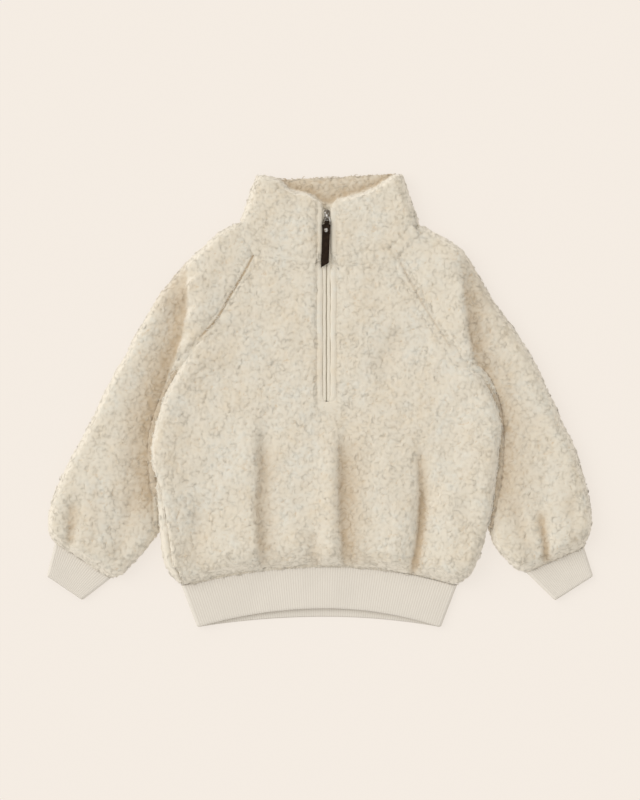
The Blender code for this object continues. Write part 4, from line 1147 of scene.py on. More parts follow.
    def is_bare(self, points: np.ndarray) -> np.ndarray:
        """Tells how flat the pile is pressed.

        Args:
            points: The points, in metres.

        Returns:
            1 beside the zip and 0 elsewhere.
        """
        beside = ease(STRIP_BARE + 1.5 * MM, STRIP_BARE - 1.5 * MM, np.abs(points[:, 0] - ZIP_X))
        low_end = ease(ZIP_FOOT - 12.0 * MM, ZIP_FOOT - 4.0 * MM, points[:, 1])
        return beside * low_end * ease(*FRONT_LEVEL, points[:, 2])


class Ground:
    """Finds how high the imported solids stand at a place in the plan."""

    def __init__(self, nodes: Sequence[str]) -> None:
        """Gathers the solids.

        Args:
            nodes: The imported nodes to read.
        """
        points, faces = [], []
        for node in nodes:
            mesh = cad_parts[node].data
            first = len(points)
            points.extend(vert.co.copy() for vert in mesh.vertices)
            faces.extend([first + number for number in face.vertices] for face in mesh.polygons)
        self.tree = BVHTree.FromPolygons(points, faces)

    def height(self, x: float, y: float) -> float:
        """Gives the height of the highest solid at a place, or 0 where there is none."""
        hit = self.tree.ray_cast(Vector((x, y, 1.0)), Vector((0.0, 0.0, -1.0)))[0]
        return hit.z if hit else 0.0


@dataclass
class Seam:
    """The gathered allowance that closes a seam between two panels, with pile combed over it and painted shade; the
    same roll also lies in the creases beside the body.
    """

    name: str
    route: Line
    sunk: float
    radius: float = 3.2 * MM
    squash: float = 0.45
    # Painted shade over the whole roll
    shade: float = 0.1
    reach: float = 7.0 * MM
    height: float | None = None
    # A painted dark line along the roll's middle, with its strength, half-width, end and fade; line_depth also sinks
    # the roll there
    line: float = 0.0
    line_half: float = 1.1 * MM
    line_end: float = 1.0
    line_fade: float = 0.12
    line_depth: float = 1.2 * MM
    dip: float = 0.0
    dip_start: float = 0.14
    narrowing: float = 0.45
    clearance: float = 1.2 * MM
    seed: int = 11
    step: float = 1.7 * MM
    sides: int = 28
    pile: Pile = field(default_factory=Pile)
    locks: Locks = field(default_factory=lambda: Locks(spacing=4.2 * MM))

    def build(self, ground: Ground) -> None:
        """Builds the roll of fleece under the seam, and its locks.

        Args:
            ground: What tells how high the panels stand.
        """
        rough = smooth_curve(np.array(self.route) * MM, 400)
        length = float(np.linalg.norm(np.diff(rough, axis=0), axis=1).sum())
        plan = smooth_curve(np.array(self.route) * MM, max(8, int(length / self.step)))
        run = np.gradient(plan, axis=0)
        run /= np.linalg.norm(run, axis=1, keepdims=True)
        across = np.stack([-run[:, 1], run[:, 0]], axis=1)
        heights = []
        for place, side in zip(plan, across):
            pair = [ground.height(*(place + sign * self.reach * side)) for sign in (-1.0, 1.0)]
            heights.append(min(pair) * 0.5 + max(pair) * 0.5)
        smooth = np.convolve(np.pad(heights, 4, mode="edge"), np.ones(9) / 9.0, mode="valid")
        middle = np.maximum(smooth - self.sunk - self.radius * self.squash, self.radius * self.squash + self.clearance)
        if self.height is not None:
            middle = np.full(len(plan), self.height)
        run_share = np.linspace(0.0, 1.0, len(plan))
        ending = ease(self.line_end, 1.0, run_share) + 0.5 * ease(self.dip_start, 0.0, run_share)
        ending *= 1.0 if self.dip else 0.0
        middle = middle - self.dip * ending
        spine = np.column_stack([plan, middle])
        radii = self.radius * (1.0 - self.narrowing * ending)
        points, faces = swept_tube(spine, radii, self.sides, squash=self.squash)
        mesh = mesh_from(self.name, points, faces)
        normals = point_normals(mesh)
        heights = self.pile.field(points)
        points = points + normals * (self.pile.height * (heights - 0.5))[:, None]
        add_values(mesh, "pile", heights)
        away = np.abs(distance_to_curve(points[:, :2], plan)[0])
        faded = 1.0 - ease(self.line_end - self.line_fade, self.line_end, np.repeat(run_share, self.sides))
        drawn = self.line * faded * np.exp(-((away / self.line_half) ** 2))
        points[:, 2] -= drawn * self.line_depth
        set_points(mesh, points)
        # Painted shade: the roll's shade plus the dark line along its middle
        add_values(mesh, "fold", self.shade + drawn)
        put(self.name, mesh, FLEECE, Body.GARMENT)
        upper = np.flatnonzero((normals[:, 2] > 0.4) & (drawn < 0.1))
        draw = np.random.default_rng(self.seed)
        chosen = upper[self.locks.seeds(points[upper], draw)]
        curls = self.locks.grow(points[chosen], normals[chosen], np.full(len(chosen), self.shade), self.seed + 1)
        put(f"pile_{self.name}", curls, FLEECE, Body.GARMENT)


# ---- Ribs ----


@dataclass
class RibTube:
    """A flat tube of rib knit between two fold lines, folded double at its open end."""

    node: str
    right: Line
    left: Line
    front_mid: tuple[float, float]
    back_mid: tuple[float, float]
    height: float
    ribs: int
    flat: tuple[float, float]
    arched: bool = False
    right_turn: float = -1.0
    left_turn: float = -2.0
    relief: float = 0.3
    wall: float = 1.8
    rows: int = 18
    fold_steps: int = 9
    per_rib: int = 4

    def build(self) -> bpy.types.Object:
        """Returns:
            The tube's piece.
        """
        columns = self.columns()
        along = np.linspace(0.0, 1.0, self.rows)
        outer = [self.ring(columns, t, 0.0) for t in along]
        inner = [self.ring(columns, t, self.wall) for t in along[::-4]]
        run_on = outer[-1] - outer[-2]
        low = 0.5 * (outer[-1] + inner[0]) + 0.7 * run_on * self.wall / np.linalg.norm(run_on[0])
        grid = np.array([*outer, low, *inner])
        count, wide = grid.shape[:2]
        rows, cols = np.meshgrid(np.arange(count), np.arange(wide), indexing="ij")
        after, beside = (rows + 1) % count, (cols + 1) % wide
        corners = [rows * wide + cols, rows * wide + beside, after * wide + beside, after * wide + cols]
        faces = np.stack(corners, axis=-1)
        mesh = mesh_from(self.node + "_knit", grid.reshape(-1, 3) * MM, faces.reshape(-1, 4))
        turn_outward(mesh)
        length = math.dist(*self.right)
        run = np.concatenate([along, [1.03], 1.06 + along[: len(inner)]]) * length * MM
        # The ridge of each column, which the finish turns into painted shade between the ribs
        add_values(mesh, "pile", np.tile(columns[:, 3], count))
        add_values(mesh, "rib", np.tile(columns[:, 2], count))
        add_values(mesh, "run", np.repeat(run, wide))
        piece = put(f"rib_{self.node}", mesh, RIB, Body.GARMENT, (self.node,))
        return piece

    def columns(self) -> np.ndarray:
        """Lists the columns round the tube.

        Returns:
            For each: its share of the width, or which fold it turns round, its angle there, its count of
            ribs, and its ridge.
        """
        inset = 0.5 * self.height / math.dist(self.left[0], self.right[0])
        wide = self.ribs * self.per_rib
        front = np.linspace(1.0 - inset, inset, wide + 1)
        turn = np.linspace(0.5 * math.pi, -0.5 * math.pi, self.fold_steps + 2)[1:-1]
        rows = [(share, 0.5 * math.pi, k / self.per_rib) for k, share in enumerate(front)]
        rows += [(self.right_turn, angle, self.ribs) for angle in turn]
        rows += [(share, -0.5 * math.pi, k / self.per_rib) for k, share in enumerate(front[::-1])]
        rows += [(self.left_turn, angle, self.ribs) for angle in turn[::-1]]
        table = np.array(rows)
        ridge = 0.5 + 0.5 * np.cos(2.0 * math.pi * table[:, 2])
        return np.column_stack([table, ridge])

    def ring(self, columns: np.ndarray, t: float, inward: float) -> np.ndarray:
        """Works out one ring of points round the tube.

        Args:
            columns: The columns.
            t: The share of the way from the seam to the open end.
            inward: How far inside the outer face the ring lies, in millimetres.

        Returns:
            The ring's points, in millimetres.
        """
        right = np.array(self.right[0]) + t * (np.array(self.right[1]) - np.array(self.right[0]))
        left = np.array(self.left[0]) + t * (np.array(self.left[1]) - np.array(self.left[0]))
        width = float(np.linalg.norm(left - right))
        radius = 0.5 * self.height
        angle = columns[:, 1]
        inset = radius * (1.0 - np.cos(angle)) + inward * np.cos(angle)
        inset = np.where(columns[:, 0] < 0.0, inset, 0.0)
        share = np.where(columns[:, 0] == self.right_turn, inset / width, columns[:, 0])
        share = np.where(columns[:, 0] == self.left_turn, 1.0 - inset / width, share)
        plan = right + share[:, None] * (left - right)
        lean = 0.5 + 0.5 * np.sin(angle)
        middle = [mids[0] + t * (mids[1] - mids[0]) for mids in (self.front_mid, self.back_mid)]
        sag = lean * middle[0] + (1.0 - lean) * middle[1] - 0.5 * (right[1] + left[1])
        plan[:, 1] += sag * self.bulge(share)
        up = np.sin(angle)
        reach = radius - inward - self.relief * (1.0 - columns[:, 3]) * (1.0 if inward == 0.0 else 0.0)
        height = radius + up * reach
        return np.column_stack([plan, height])

    def bulge(self, share: np.ndarray) -> np.ndarray:
        """Works out the row's bulge between its ends.

        Args:
            share: Shares of the way from right to left.

        Returns:
            The bulge at each, from 0 to 1.
        """
        if not self.arched:
            return 1.0 - (2.0 * share - 1.0) ** 2
        x = self.right[0][0] + share * (self.left[0][0] - self.right[0][0])
        middle = ZIP_X / MM
        half = np.where(x < middle, middle - HEM_ENDS[0], HEM_ENDS[1] - middle)
        return 1.0 - np.clip(np.abs(x - middle) / half, 0.0, 1.0) ** 2


# ---- The zip ----


@dataclass
class Zip:
    """The closed zip: two woven tapes with the coil behind them, and the stitches beside it."""

    tape_top: float = 16.8
    tape_near: float = 0.14
    tape_far: float = 10.2
    tape_thick: float = 1.2
    tape_puff: float = 1.5
    tape_cut: tuple[float, float] = (0.010, 0.214)
    tape_places: tuple[float, ...] = (0.0, 0.2, 0.5, 0.9, 1.5, 2.4, 3.2, 3.8, 4.3, 4.8, 6.5)
    part_from: float = 204.5
    part_width: float = 1.6
    coil_z: float = 14.2
    coil_half: float = 2.4
    coil_radius: float = 0.42
    coil_pitch: float = 1.6
    stitch_length: float = 2.6
    stitch_gap: float = 0.9
    thread: float = 0.22
    welt_place: float = 7.9
    welt_read: float = 9.0
    welt_meet: float = 5.6
    welt_sink: float = 0.9
    welt_half: float = 3.4
    welt_squash: float = 0.42
    welt_sides: int = 18

    def build(self, ground: Ground) -> None:
        """Builds the tapes, the coil, the turned edges and the stitches.

        Args:
            ground: What tells how high the fleece stands.
        """
        for side, node in ((-1.0, "zip_tape_right"), (1.0, "zip_tape_left")):
            self.tape(side, node)
        self.coil()
        self.welts(ground)
        self.stitches(ground)

    def welts(self, ground: Ground) -> None:
        """Builds the front's turned edges beside the zip, which meet below its foot.

        Args:
            ground: What tells how high the fleece stands.
        """
        for side, name in ((-1.0, "right"), (1.0, "left")):
            ys = np.arange(ZIP_FOOT / MM - 6.0, ZIP_TOP / MM + 1.0, 1.6)
            close = ease(ZIP_FOOT / MM + 7.0, ZIP_FOOT / MM - 5.0, ys)
            wave = 0.25 * np.sin(0.11 * ys + 2.0 * side) + 0.15 * np.sin(0.31 * ys + side)
            x = ZIP_X / MM + side * (self.welt_place - self.welt_meet * close + wave)
            tops = [ground.height(ZIP_X + side * self.welt_read * MM, y * MM) / MM for y in ys]
            tops = np.convolve(np.pad(tops, 5, mode="edge"), np.ones(11) / 11.0, mode="valid")
            middle = tops - 0.1 - self.welt_half * self.welt_squash - self.welt_sink * close
            spine = np.column_stack([x, ys, middle]) * MM
            radii = np.full(len(ys), self.welt_half * MM) * (1.0 - 0.45 * close)
            points, faces = swept_tube(spine, radii, self.welt_sides, squash=self.welt_squash)
            mesh = mesh_from(f"welt_{name}", points, faces)
            normals = point_normals(mesh)
            pile = Pile(height=0.5 * MM)
            heights = pile.field(points)
            set_points(mesh, points + normals * (pile.height * (heights - 0.5))[:, None])
            add_values(mesh, "pile", 0.4 + 0.6 * heights)
            add_values(mesh, "fold", np.full(len(points), 0.0))
            put(f"welt_{name}", mesh, FLEECE, Body.GARMENT)

    def tape(self, side: float, node: str) -> None:
        """Builds one tape, rolled down along its inner edge.

        Args:
            side: -1 for the wearer's right, 1 for the left.
            node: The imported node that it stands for.
        """
        across = np.array([*self.tape_places, self.tape_far - self.tape_near])
        puffed = self.tape_puff * ease(0.0, 1.1, across) * ease(4.7, 3.4, across)
        ys = np.arange(ZIP_FOOT / MM, ZIP_TOP / MM, 2.4)
        grid = []
        for y in ys:
            near = self.tape_near + self.part_width * float(ease(self.part_from - 1.0, self.part_from + 4.0, y))
            wave = 0.10 * math.sin(0.19 * y) + 0.06 * math.sin(0.47 * y)
            x = ZIP_X / MM + 1.5 * wave + side * (near + across * (self.tape_far - near) / across[-1])
            top = self.tape_top - 0.4 * ease(0.5, 0.0, across) + puffed * float(ease(195.0, 190.0, y)) + wave
            upper = np.column_stack([x, np.full(len(x), y), top])
            lower = np.column_stack([x, np.full(len(x), y), np.full(len(x), self.tape_top - self.tape_thick - 0.2)])
            grid.append(np.concatenate([upper, lower[::-1]]))
        grid = np.array(grid)
        count, wide = grid.shape[:2]
        faces = ring_faces(count, wide)
        half = wide // 2
        for row in (0, count - 1):
            first = row * wide
            faces += [[first + j, first + j + 1, first + wide - 2 - j, first + wide - 1 - j] for j in range(half - 1)]
        mesh = mesh_from(node + "_cloth", grid.reshape(-1, 3) * MM, faces)
        turn_outward(mesh)
        piece = put(node.replace("zip_", ""), mesh, TAPE, Body.GARMENT, (node,))

    def coil(self) -> None:
        """Builds the two interlocked rows of loops behind the tapes."""
        batch = Batch()
        turn = np.linspace(-2.1, 2.1, 7)
        for number, y in enumerate(np.arange(ZIP_FOOT / MM + 1.0, self.part_from, 0.5 * self.coil_pitch)):
            side = -1.0 if number % 2 else 1.0
            x = ZIP_X / MM + side * (0.9 - self.coil_half * 0.75 * (np.cos(turn) - 0.55))
            z = self.coil_z + 0.75 * np.sin(turn) * (1.0 - self.coil_radius)
            path = np.column_stack([x, np.full(len(turn), y), z]) * MM
            batch.tube(path, np.full(len(turn), self.coil_radius * 0.8 * MM), 5)
        put("coil", batch.mesh("coil"), COIL, Body.GARMENT, ("zip_coil",))

    def stitches(self, ground: Ground) -> None:
        """Builds the two lines of stitches beside the zip.

        Args:
            ground: What tells how high the fleece stands.
        """
        batch = Batch()
        step = self.stitch_length + self.stitch_gap
        share = np.linspace(-0.5, 0.5, 5)
        for side in (-1.0, 1.0):
            x = ZIP_X + side * STITCH_LINE
            for y in np.arange(ZIP_FOOT / MM + 2.0, ZIP_TOP / MM - 3.0, step):
                height = ground.height(x, y * MM) - 0.5 * MM
                along = y * MM + share * self.stitch_length * MM
                path = np.column_stack([np.full(5, x), along, height - (2.0 * share) ** 4 * 0.5 * MM])
                batch.tube(path, np.full(5, self.thread * MM), 5)
        put("zip_stitches", batch.mesh("zip_stitches"), THREAD, Body.GARMENT)


# ---- The pull ----


@dataclass
class Pull:
    """The slider with its bridge, the wire link, the leather strap and its rivet."""

    x: float = 7.5
    plate_half: float = 3.2
    plate_y: tuple[float, float] = (197.0, 209.6)
    outer_plate: tuple[float, float] = (17.1, 18.3)
    inner_plate: tuple[float, float] = (11.9, 13.0)
    rim_y: float = 203.6
    rim_share: tuple[float, float] = (0.78, 0.8)
    corner: float = 0.6
    post_half: float = 0.85
    post_y: tuple[float, float] = (206.9, 209.2)
    bridge: Line = (
        (207.0, 17.9), (207.1, 19.6), (206.6, 20.8), (205.2, 21.25), (202.6, 21.3),
        (200.4, 21.2), (199.1, 20.7), (198.75, 19.4), (198.75, 17.9),
    )
    bridge_half: float = 1.15
    bridge_thick: float = 0.5
    link_top: tuple[float, float, float] = (2.3, 201.3, 19.6)
    link_low: tuple[float, float, float] = (4.4, 194.8, 21.3)
    link_bend: float = 0.9
    wire: float = 0.6
    wire_sides: int = 10
    strap_x: float = 6.8
    strap_end_x: float = 5.4
    strap_half: float = 4.35
    shoulder_half: float = 4.7
    strap_y: tuple[float, ...] = (193.5, 192.6, 190.0, 151.0, 145.6)
    strap_z: tuple[float, float] = (20.0, 22.6)
    eye_radii: tuple[float, float] = (1.0, 2.15)
    eye_half: float = 2.6
    rivet: tuple[float, float, float] = (6.67, 186.8, 2.25)

    def build(self) -> None:
        """Builds the four pieces."""
        self.slider()
        self.link()
        self.strap()
        self.rivet_head()

    def slider(self) -> None:
        """Builds both plates with their rims, the post and the arched bridge."""
        low, high = self.plate_y
        half = self.plate_half
        batch = Batch()
        side = ((0.74 * half, low), (0.8 * half, low + 4.5), (half, low + 8.0), (half, high - 1.2), (0.62 * half, high))
        outline = [(-side[0][0], low), *side, *((-x, y) for x, y in side[:0:-1])]
        shape = rounded_corners(np.array([(self.x + x, y) for x, y in outline]), self.corner, 5)
        for bottom, top in (self.inner_plate, self.outer_plate):
            batch.add(*slab(shape, bottom, top, 0.3))
        middle = np.array([self.x, self.rim_y])
        inner_rim = middle + np.array(self.rim_share) * (shape - middle)
        batch.add(*slab(inner_rim, self.outer_plate[1] - 0.3, self.outer_plate[1] + 0.22, 0.2))
        near, far = self.post_y
        post = [(-self.post_half, near), (self.post_half, near), (self.post_half, far), (-self.post_half, far)]
        post = rounded_corners(np.array([(self.x + x, y) for x, y in post]), 0.3, 5)
        batch.add(*slab(post, self.inner_plate[1] - 0.3, self.outer_plate[0] + 0.3, 0.1))
        arch = smooth_curve(self.bridge, 33)
        spine = np.column_stack([np.full(len(arch), self.x), arch])
        squash = self.bridge_thick / self.bridge_half
        batch.add(*swept_tube(spine, np.full(len(arch), self.bridge_half), 12, squash=squash, sideways=(1.0, 0.0, 0.0)))
        self.put_batch("slider_body", batch, NICKEL, Body.GARMENT, "slider")

    def link(self) -> None:
        """Builds the wire link as one closed loop, without the lapped joint on its upper bar."""
        top, low = self.link_top, self.link_low
        corners = [(-top[0], *top[1:]), top, low, (-low[0], *low[1:])]
        knots = np.array(corners) + np.array([self.x, 0.0, 0.0])
        path = rounded_corners(knots, self.link_bend, 7)
        along = np.roll(path, -1, axis=0) - np.roll(path, 1, axis=0)
        along /= np.linalg.norm(along, axis=1, keepdims=True)
        face = np.cross(knots[1] - knots[0], knots[2] - knots[1])
        face /= np.linalg.norm(face)
        side = np.cross(along, face)
        turn = np.linspace(0.0, 2.0 * math.pi, self.wire_sides, endpoint=False)
        ring = np.cos(turn)[None, :, None] * side[:, None] + np.sin(turn)[None, :, None] * face
        points = (path[:, None] + self.wire * ring).reshape(-1, 3)
        batch = Batch()
        batch.add(points, ring_faces(len(path), self.wire_sides, closed=True))
        self.put_batch("wire_link", batch, NICKEL, Body.LINK, "pull_link")

    def strap(self) -> None:
        """Builds the strap: a tongue with a slanted end and the eye round the link, without its pressed edge line."""
        low, high = self.strap_z
        x, end, half, wide = self.strap_x, self.strap_end_x, self.strap_half, self.shoulder_half
        eye_y, wide_y, neck_y, left_y, right_y = self.strap_y
        corners = (
            (x - self.eye_half, eye_y), (x - wide, wide_y), (x - half, neck_y), (end - half, right_y),
            (end + half, left_y), (x + half, neck_y), (x + wide, wide_y), (x + self.eye_half, eye_y),
        )
        outline = rounded_corners(np.array(corners), self.corner, 4)
        batch = Batch()
        batch.add(*slab(outline, low, high, 0.45))
        middle = 0.5 * (low + high)
        near, far = self.eye_radii
        low_side = [(near, -self.eye_half), (far - 0.3, -self.eye_half), (far, -self.eye_half + 0.3)]
        profile = low_side + [(radius, -place) for radius, place in low_side[::-1]]
        points, faces = turned(profile, 28, True)
        eye = np.column_stack([points[:, 2] + self.x, points[:, 0] + self.link_low[1], points[:, 1] + middle])
        batch.add(eye, faces)
        self.put_batch("leather_strap", batch, LEATHER, Body.STRAP, "pull_strap")

    def rivet_head(self) -> None:
        """Builds the rivet's domed head with its rim, its shank and the washer behind."""
        x, y, radius = self.rivet
        low, high = self.strap_z
        washer = [(0.3, low - 0.8), (1.9, low - 0.8), (1.95, low - 0.55), (1.9, low - 0.3), (0.9, low - 0.3)]
        rim = ((0.1, 0.0), (0.0, 0.25), (0.15, 0.45), (0.5, 0.5), (0.7, 0.42), (1.0, 0.75))
        dome = [(radius - inset, high + rise) for inset, rise in rim]
        profile = [*washer, (0.9, high), *dome, (0.7, high + 1.05), (0.2, high + 1.12)]
        points, faces = turned(profile, 28, False)
        batch = Batch()
        batch.add(points + np.array([x, y, 0.0]), faces)
        self.put_batch("rivet_head", batch, NICKEL, Body.STRAP, "pull_rivet")

    def put_batch(self, name: str, batch: Batch, finish: Finish, body: Body, node: str) -> None:
        """Puts gathered shapes, given in millimetres, in the scene.

        Args:
            name: The piece's name.
            batch: Its shapes.
            finish: What it is made of.
            body: The body that it moves with.
            node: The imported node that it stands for.
        """
        mesh = batch.mesh(name, MM)
        turn_outward(mesh)
        put(name, mesh, finish, body, (node,))


# ---- Camera, floor and light ----


@dataclass
class Studio:
    """The plain floor, the soft light and the camera straight above."""

    view_height: float = 0.88
    focus_height: float = 0.02
    lens: float = 200.0
    sensor: float = 36.0
    floor_color: Color = (0.905, 0.839, 0.768)
    floor_half: float = 6.0
    floor_drop: float = 0.4 * MM
    floor_glow: float = 0.8
    sky: float = 0.75
    sky_color: Color = (1.0, 0.98, 0.95)
    clip_end: float = 100.0
    key_strength: float = 1.32
    key_spread: float = math.radians(55.0)
    key_place: tuple[float, float, float] = (-2.0, 0.9, 2.0)

    def build(self) -> None:
        """Makes the floor, the lights and the camera."""
        self.floor()
        self.lights()
        self.camera()
        bpy.context.scene.view_settings.view_transform = "Standard"

    def floor(self) -> None:
        """Makes the floor, a plain pale sheet of paper."""
        half = self.floor_half
        corners = [(-half, -half), (half, -half), (half, half), (-half, half)]
        mesh = mesh_from("floor", np.array([(x, y, -self.floor_drop) for x, y in corners]), [(0, 1, 2, 3)], False)
        floor = bpy.data.objects.new("floor", mesh)
        bpy.context.scene.collection.objects.link(floor)
        paper = bpy.data.materials.new("floor_paper")
        paper.use_nodes = True
        shader = paper.node_tree.nodes["Principled BSDF"]
        lit = [(1.0 - self.floor_glow) * value for value in self.floor_color]
        shader.inputs["Base Color"].default_value = (*lit, 1.0)
        shader.inputs["Emission Color"].default_value = (*self.floor_color, 1.0)
        shader.inputs["Emission Strength"].default_value = self.floor_glow
        shader.inputs["Roughness"].default_value = 1.0
        shader.inputs["Specular IOR Level"].default_value = 0.0
        mesh.materials.append(paper)

    def lights(self) -> None:
        """Makes the even sky and one broad soft light from the upper left."""
        world = bpy.data.worlds.new("studio")
        world.use_nodes = True
        sky = world.node_tree.nodes["Background"]
        sky.inputs["Color"].default_value = (*self.sky_color, 1.0)
        sky.inputs["Strength"].default_value = self.sky
        bpy.context.scene.world = world
        lamp = bpy.data.lights.new("key", "SUN")
        lamp.angle = self.key_spread
        lamp.energy = self.key_strength
        key = bpy.data.objects.new("key", lamp)
        key.location = self.key_place
        key.rotation_euler = (-Vector(self.key_place)).to_track_quat("-Z", "Y").to_euler()
        bpy.context.scene.collection.objects.link(key)

    def camera(self) -> None:
        """Makes the camera, straight above the garment's middle."""
        data = bpy.data.cameras.new("camera")
        data.lens = self.lens
        data.sensor_width = self.sensor
        camera = bpy.data.objects.new("camera", data)
        camera.location = (0.0, 0.0, self.focus_height + self.view_height * self.lens / self.sensor)
        data.clip_end = self.clip_end
        bpy.context.scene.collection.objects.link(camera)
        bpy.context.scene.camera = camera


# Creases, in millimetres: the line, the depth (below 0 for a trough), the widths to the right and the
# left of the line, and the shade
SLEEVE_RIGHT_RIDGE = (
    (-149, 176), (-149, 140), (-148, 112), (-151, 83), (-160, 50), (-172, 18), (-183, -20), (-187, -60), (-182, -160),
)
SLEEVE_LEFT_RIDGE = (
    (153, 178), (156, 150), (161, 121), (164, 83), (172, 42), (187, 8), (199, -22), (201, -60), (188, -150),
)
FRONT_FOLDS = (
    Fold(((-134, -100), (-133, -150), (-137, -190)), -1.0, 8, 11, 0.2),
    Fold(((-68, -34), (-66, -80), (-68, -130), (-62, -196)), -0.8, 4, 17, 0.62),
    Fold(((-72, -20), (-70, -90), (-72, -190)), 1.2, 10, 9),
    Fold(((-9, -140), (-6, -165), (-4, -192)), -1.6, 6, 7, 0.4),
    Fold(((23, -30), (23, -80), (24, -130), (29, -196)), -1.0, 4, 22, 0.85),
    Fold(((15, -40), (14, -100), (17, -190)), 1.2, 10, 8),
    Fold(((107, -45), (111, -100), (109, -145), (100, -199)), -2.2, 3, 9, 0.8),
    Fold(((110, -96), (111, -130), (107, -165), (99, -202)), -1.4, 3, 5, 0.6),
    Fold(((140, -90), (146, -140), (136, -196)), 1.6, 12, 12),
    Fold(((60, 20), (84, 62), (96, 80)), -1.2, 12, 14, 0.15),
    Fold(((-112, 22), (-100, 62), (-88, 84)), -1.0, 12, 12, 0.1),
)
SLEEVE_RIGHT_FOLDS = (
    Fold(SLEEVE_RIGHT_RIDGE, -1.6, 24, 2.5, 1.0),
    Fold(((-142, 150), (-140, 110), (-143, 76), (-153, 46)), 1.0, 5, 12),
    Fold(((-271, -108), (-272, -130), (-277, -164)), -1.9, 5, 6, 0.7),
    Fold(((-262, -120), (-264, -140), (-268, -170)), 0.8, 6, 6),
    Fold(((-205, -96), (-214, -140), (-228, -186)), -1.2, 7, 8, 0.25),
    Fold(((-248, -80), (-246, -120), (-252, -180)), -0.8, 8, 6, 0.2),
)
SLEEVE_LEFT_FOLDS = (
    Fold(SLEEVE_LEFT_RIDGE, -1.6, 2.5, 24, 0.8),
    Fold(((148, 150), (153, 118), (157, 82), (165, 46)), 1.0, 12, 5),
    Fold(((241, -116), (246, -146), (250, -184)), -2.6, 4, 5, 0.95),
    Fold(((256, -128), (259, -150), (266, -184)), 0.8, 6, 6),
    Fold(((214, -104), (224, -146), (236, -184)), -1.2, 8, 8, 0.3),
    Fold(((276, -96), (277, -130), (283, -164)), -0.9, 7, 7, 0.25),
)
BACK_FOLDS = (
    Fold(((-120, -100), (-112, -150), (-118, -190)), 1.4, 9, 12),
    Fold(((-60, -40), (-52, -100), (-56, -186)), 1.1, 8, 14),
    Fold(((6, -90), (12, -140), (8, -190)), 1.3, 10, 7),
    Fold(((74, -20), (66, -90), (70, -186)), 1.2, 14, 8),
    Fold(((128, -110), (132, -150), (122, -190)), 1.5, 7, 10),
    Fold(((-90, 110), (-100, 60), (-120, 20)), 0.9, 12, 9),
    Fold(((96, 108), (112, 60), (134, 24)), 0.9, 9, 12),
)
SLEEVE_RIGHT_UNDER = (
    Fold(((-196, -60), (-216, -120), (-240, -176)), 1.0, 8, 10),
    Fold(((-250, -70), (-262, -120), (-272, -160)), 1.2, 9, 7),
)
SLEEVE_LEFT_UNDER = (
    Fold(((212, -50), (226, -110), (244, -176)), 1.1, 10, 8),
    Fold(((262, -80), (270, -126), (276, -166)), 1.2, 7, 9),
)

# Where the panels are sewn together, in millimetres, and the two creases where the sleeves lie against the body's sides
NECK_LINE_RIGHT = ((-87, 194), (-69, 168), (-40, 158), (-1.5, 152.4))
NECK_LINE_LEFT = ((18, 152.2), (50, 156), (81, 165), (107.5, 191))
RIGHT_RAGLAN = ((-69, 168), (-82, 143), (-97, 118), (-116, 86), (-132, 69), (-150, 44), (-157, 33), (-164, 20))
LEFT_RAGLAN = ((81, 165), (91, 146), (102, 125), (117, 99), (139, 65), (155, 42), (172, 31), (184, 18), (190, 6))
RIGHT_CREASE = ((-155, 36), (-163, 22), (-170, 5), (-178, -18), (-184, -40), (-185, -64), (-181, -105), (-177, -140))
LEFT_CREASE = ((180, 25), (186, 14), (192, 0), (196, -22), (198, -56), (194, -94), (185, -143))
HEM_LINE = tuple((x, -202.0 + 21.0 * (1.0 - ((x - 7.3) / 157.0) ** 2)) for x in range(-143, 148, 10))
CUFF_LINE_RIGHT = ((-289, -156.5), (-262, -173.5), (-234, -193))
CUFF_LINE_LEFT = ((230, -186.5), (259, -173), (288, -161.5))


def seams() -> list[Seam]:
    """Lists the seams between the panels of fleece, and the rolls with painted shade in the creases beside the body.

    Returns:
        The seams, in the order in which they are made.
    """
    flat = {"squash": 0.22, "shade": 0.0, "reach": 9.0 * MM}
    raglan = {"radius": 9.0 * MM, "dip": 4.0 * MM, **flat}
    return [
        Seam("neck_seam_right", NECK_LINE_RIGHT, 0.0, 9.5 * MM, seed=21, **flat),
        Seam("neck_seam_left", NECK_LINE_LEFT, 0.0, 9.5 * MM, seed=31, **flat),
        # The raglan seams get a painted dark line along their middle
        Seam("raglan_seam_right", RIGHT_RAGLAN, 0.5 * MM, line=1.35, line_end=0.72, seed=41, **raglan),
        Seam("raglan_seam_left", LEFT_RAGLAN, 0.3 * MM, line=0.45, line_end=0.7, seed=46, **raglan),
        # Rolls of pile in the creases beside the body's sides, with strong painted shade
        Seam("crease_shade_roll_right", RIGHT_CREASE, 4.0 * MM, 5.0 * MM, 0.6, 0.7, seed=51),
        Seam("crease_shade_roll_left", LEFT_CREASE, 4.0 * MM, 5.0 * MM, 0.6, 0.7, seed=61),
        Seam("hem_roll", HEM_LINE, 0.0, 3.0 * MM, 0.6, 0.1, height=7.0 * MM, seed=71),
        Seam("cuff_roll_right", CUFF_LINE_RIGHT, 0.0, 2.2 * MM, 0.7, 0.1, height=7.0 * MM, seed=81),
        Seam("cuff_roll_left", CUFF_LINE_LEFT, 0.0, 2.2 * MM, 0.7, 0.1, height=7.0 * MM, seed=91),
    ]


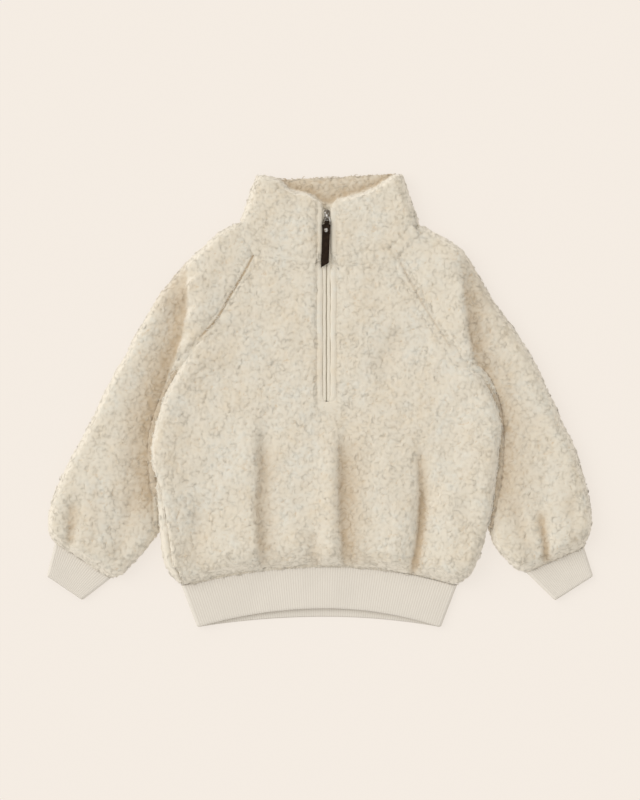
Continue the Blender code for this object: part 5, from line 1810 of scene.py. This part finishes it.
def ribs() -> list[RibTube]:
    """Lists the tubes of rib knit.

    Returns:
        The hem band and the two cuffs.
    """
    cuff = {"height": 7.0, "ribs": 24, "flat": (0.14, 0.037)}
    return [
        RibTube(
            "hem_band", ((-153.5, -203.4), (-136, -249)), ((151.5, -203.4), (134, -249)),
            (-182.4, -229.0), (-190.4, -238.0), height=7.4, ribs=106, flat=(0.57, 0.047), arched=True,
        ),
        RibTube(
            "cuff_right", ((-292, -155.5), (-301, -193)), ((-230.5, -196.3), (-261, -220)),
            (-175.9, -206.5), (-175.9, -206.5), **cuff,
        ),
        RibTube(
            "cuff_left", ((226.5, -189.3), (258, -220)), ((291, -161.5), (301, -193)),
            (-175.4, -206.5), (-175.4, -206.5), **cuff,
        ),
    ]


def panels() -> list[FleecePanel]:
    """Lists the panels of fleece with their cut.

    Returns:
        The five panels.
    """
    sleeve = {"flat": (0.24, 0.42), "area": 0.085, "hollow": True, "voxel": 3.5 * MM}
    wide = Locks(spacing=6.5 * MM)
    return [
        FleecePanel("front", (0.40, 0.36), 0.128, ("fleece_back",), FRONT_FOLDS, seed=1),
        FleecePanel("back", (0.40, 0.40), 0.138, voxel=3.9 * MM, under_folds=BACK_FOLDS, seed=2, locks=wide),
        FleecePanel("sleeve_right", folds=SLEEVE_RIGHT_FOLDS, under_folds=SLEEVE_RIGHT_UNDER, seed=3, **sleeve),
        FleecePanel("sleeve_left", folds=SLEEVE_LEFT_FOLDS, under_folds=SLEEVE_LEFT_UNDER, seed=4, **sleeve),
        FleecePanel("collar", (0.40, 0.09), 0.034, hollow=True, fringe=1.0 * MM, seed=5),
    ]


def main() -> None:
    """Builds the pullover, piece by piece."""
    logging.basicConfig(level=logging.INFO, format="%(name)s %(message)s")
    Studio().build()
    for panel in panels():
        panel.build()
    ground = Ground(("front", "collar", "sleeve_right", "sleeve_left"))
    for seam in seams():
        seam.build(ground)
    for tube in ribs():
        tube.build()
    Zip().build(ground)
    Pull().build()


if __name__ == "__main__":
    main()
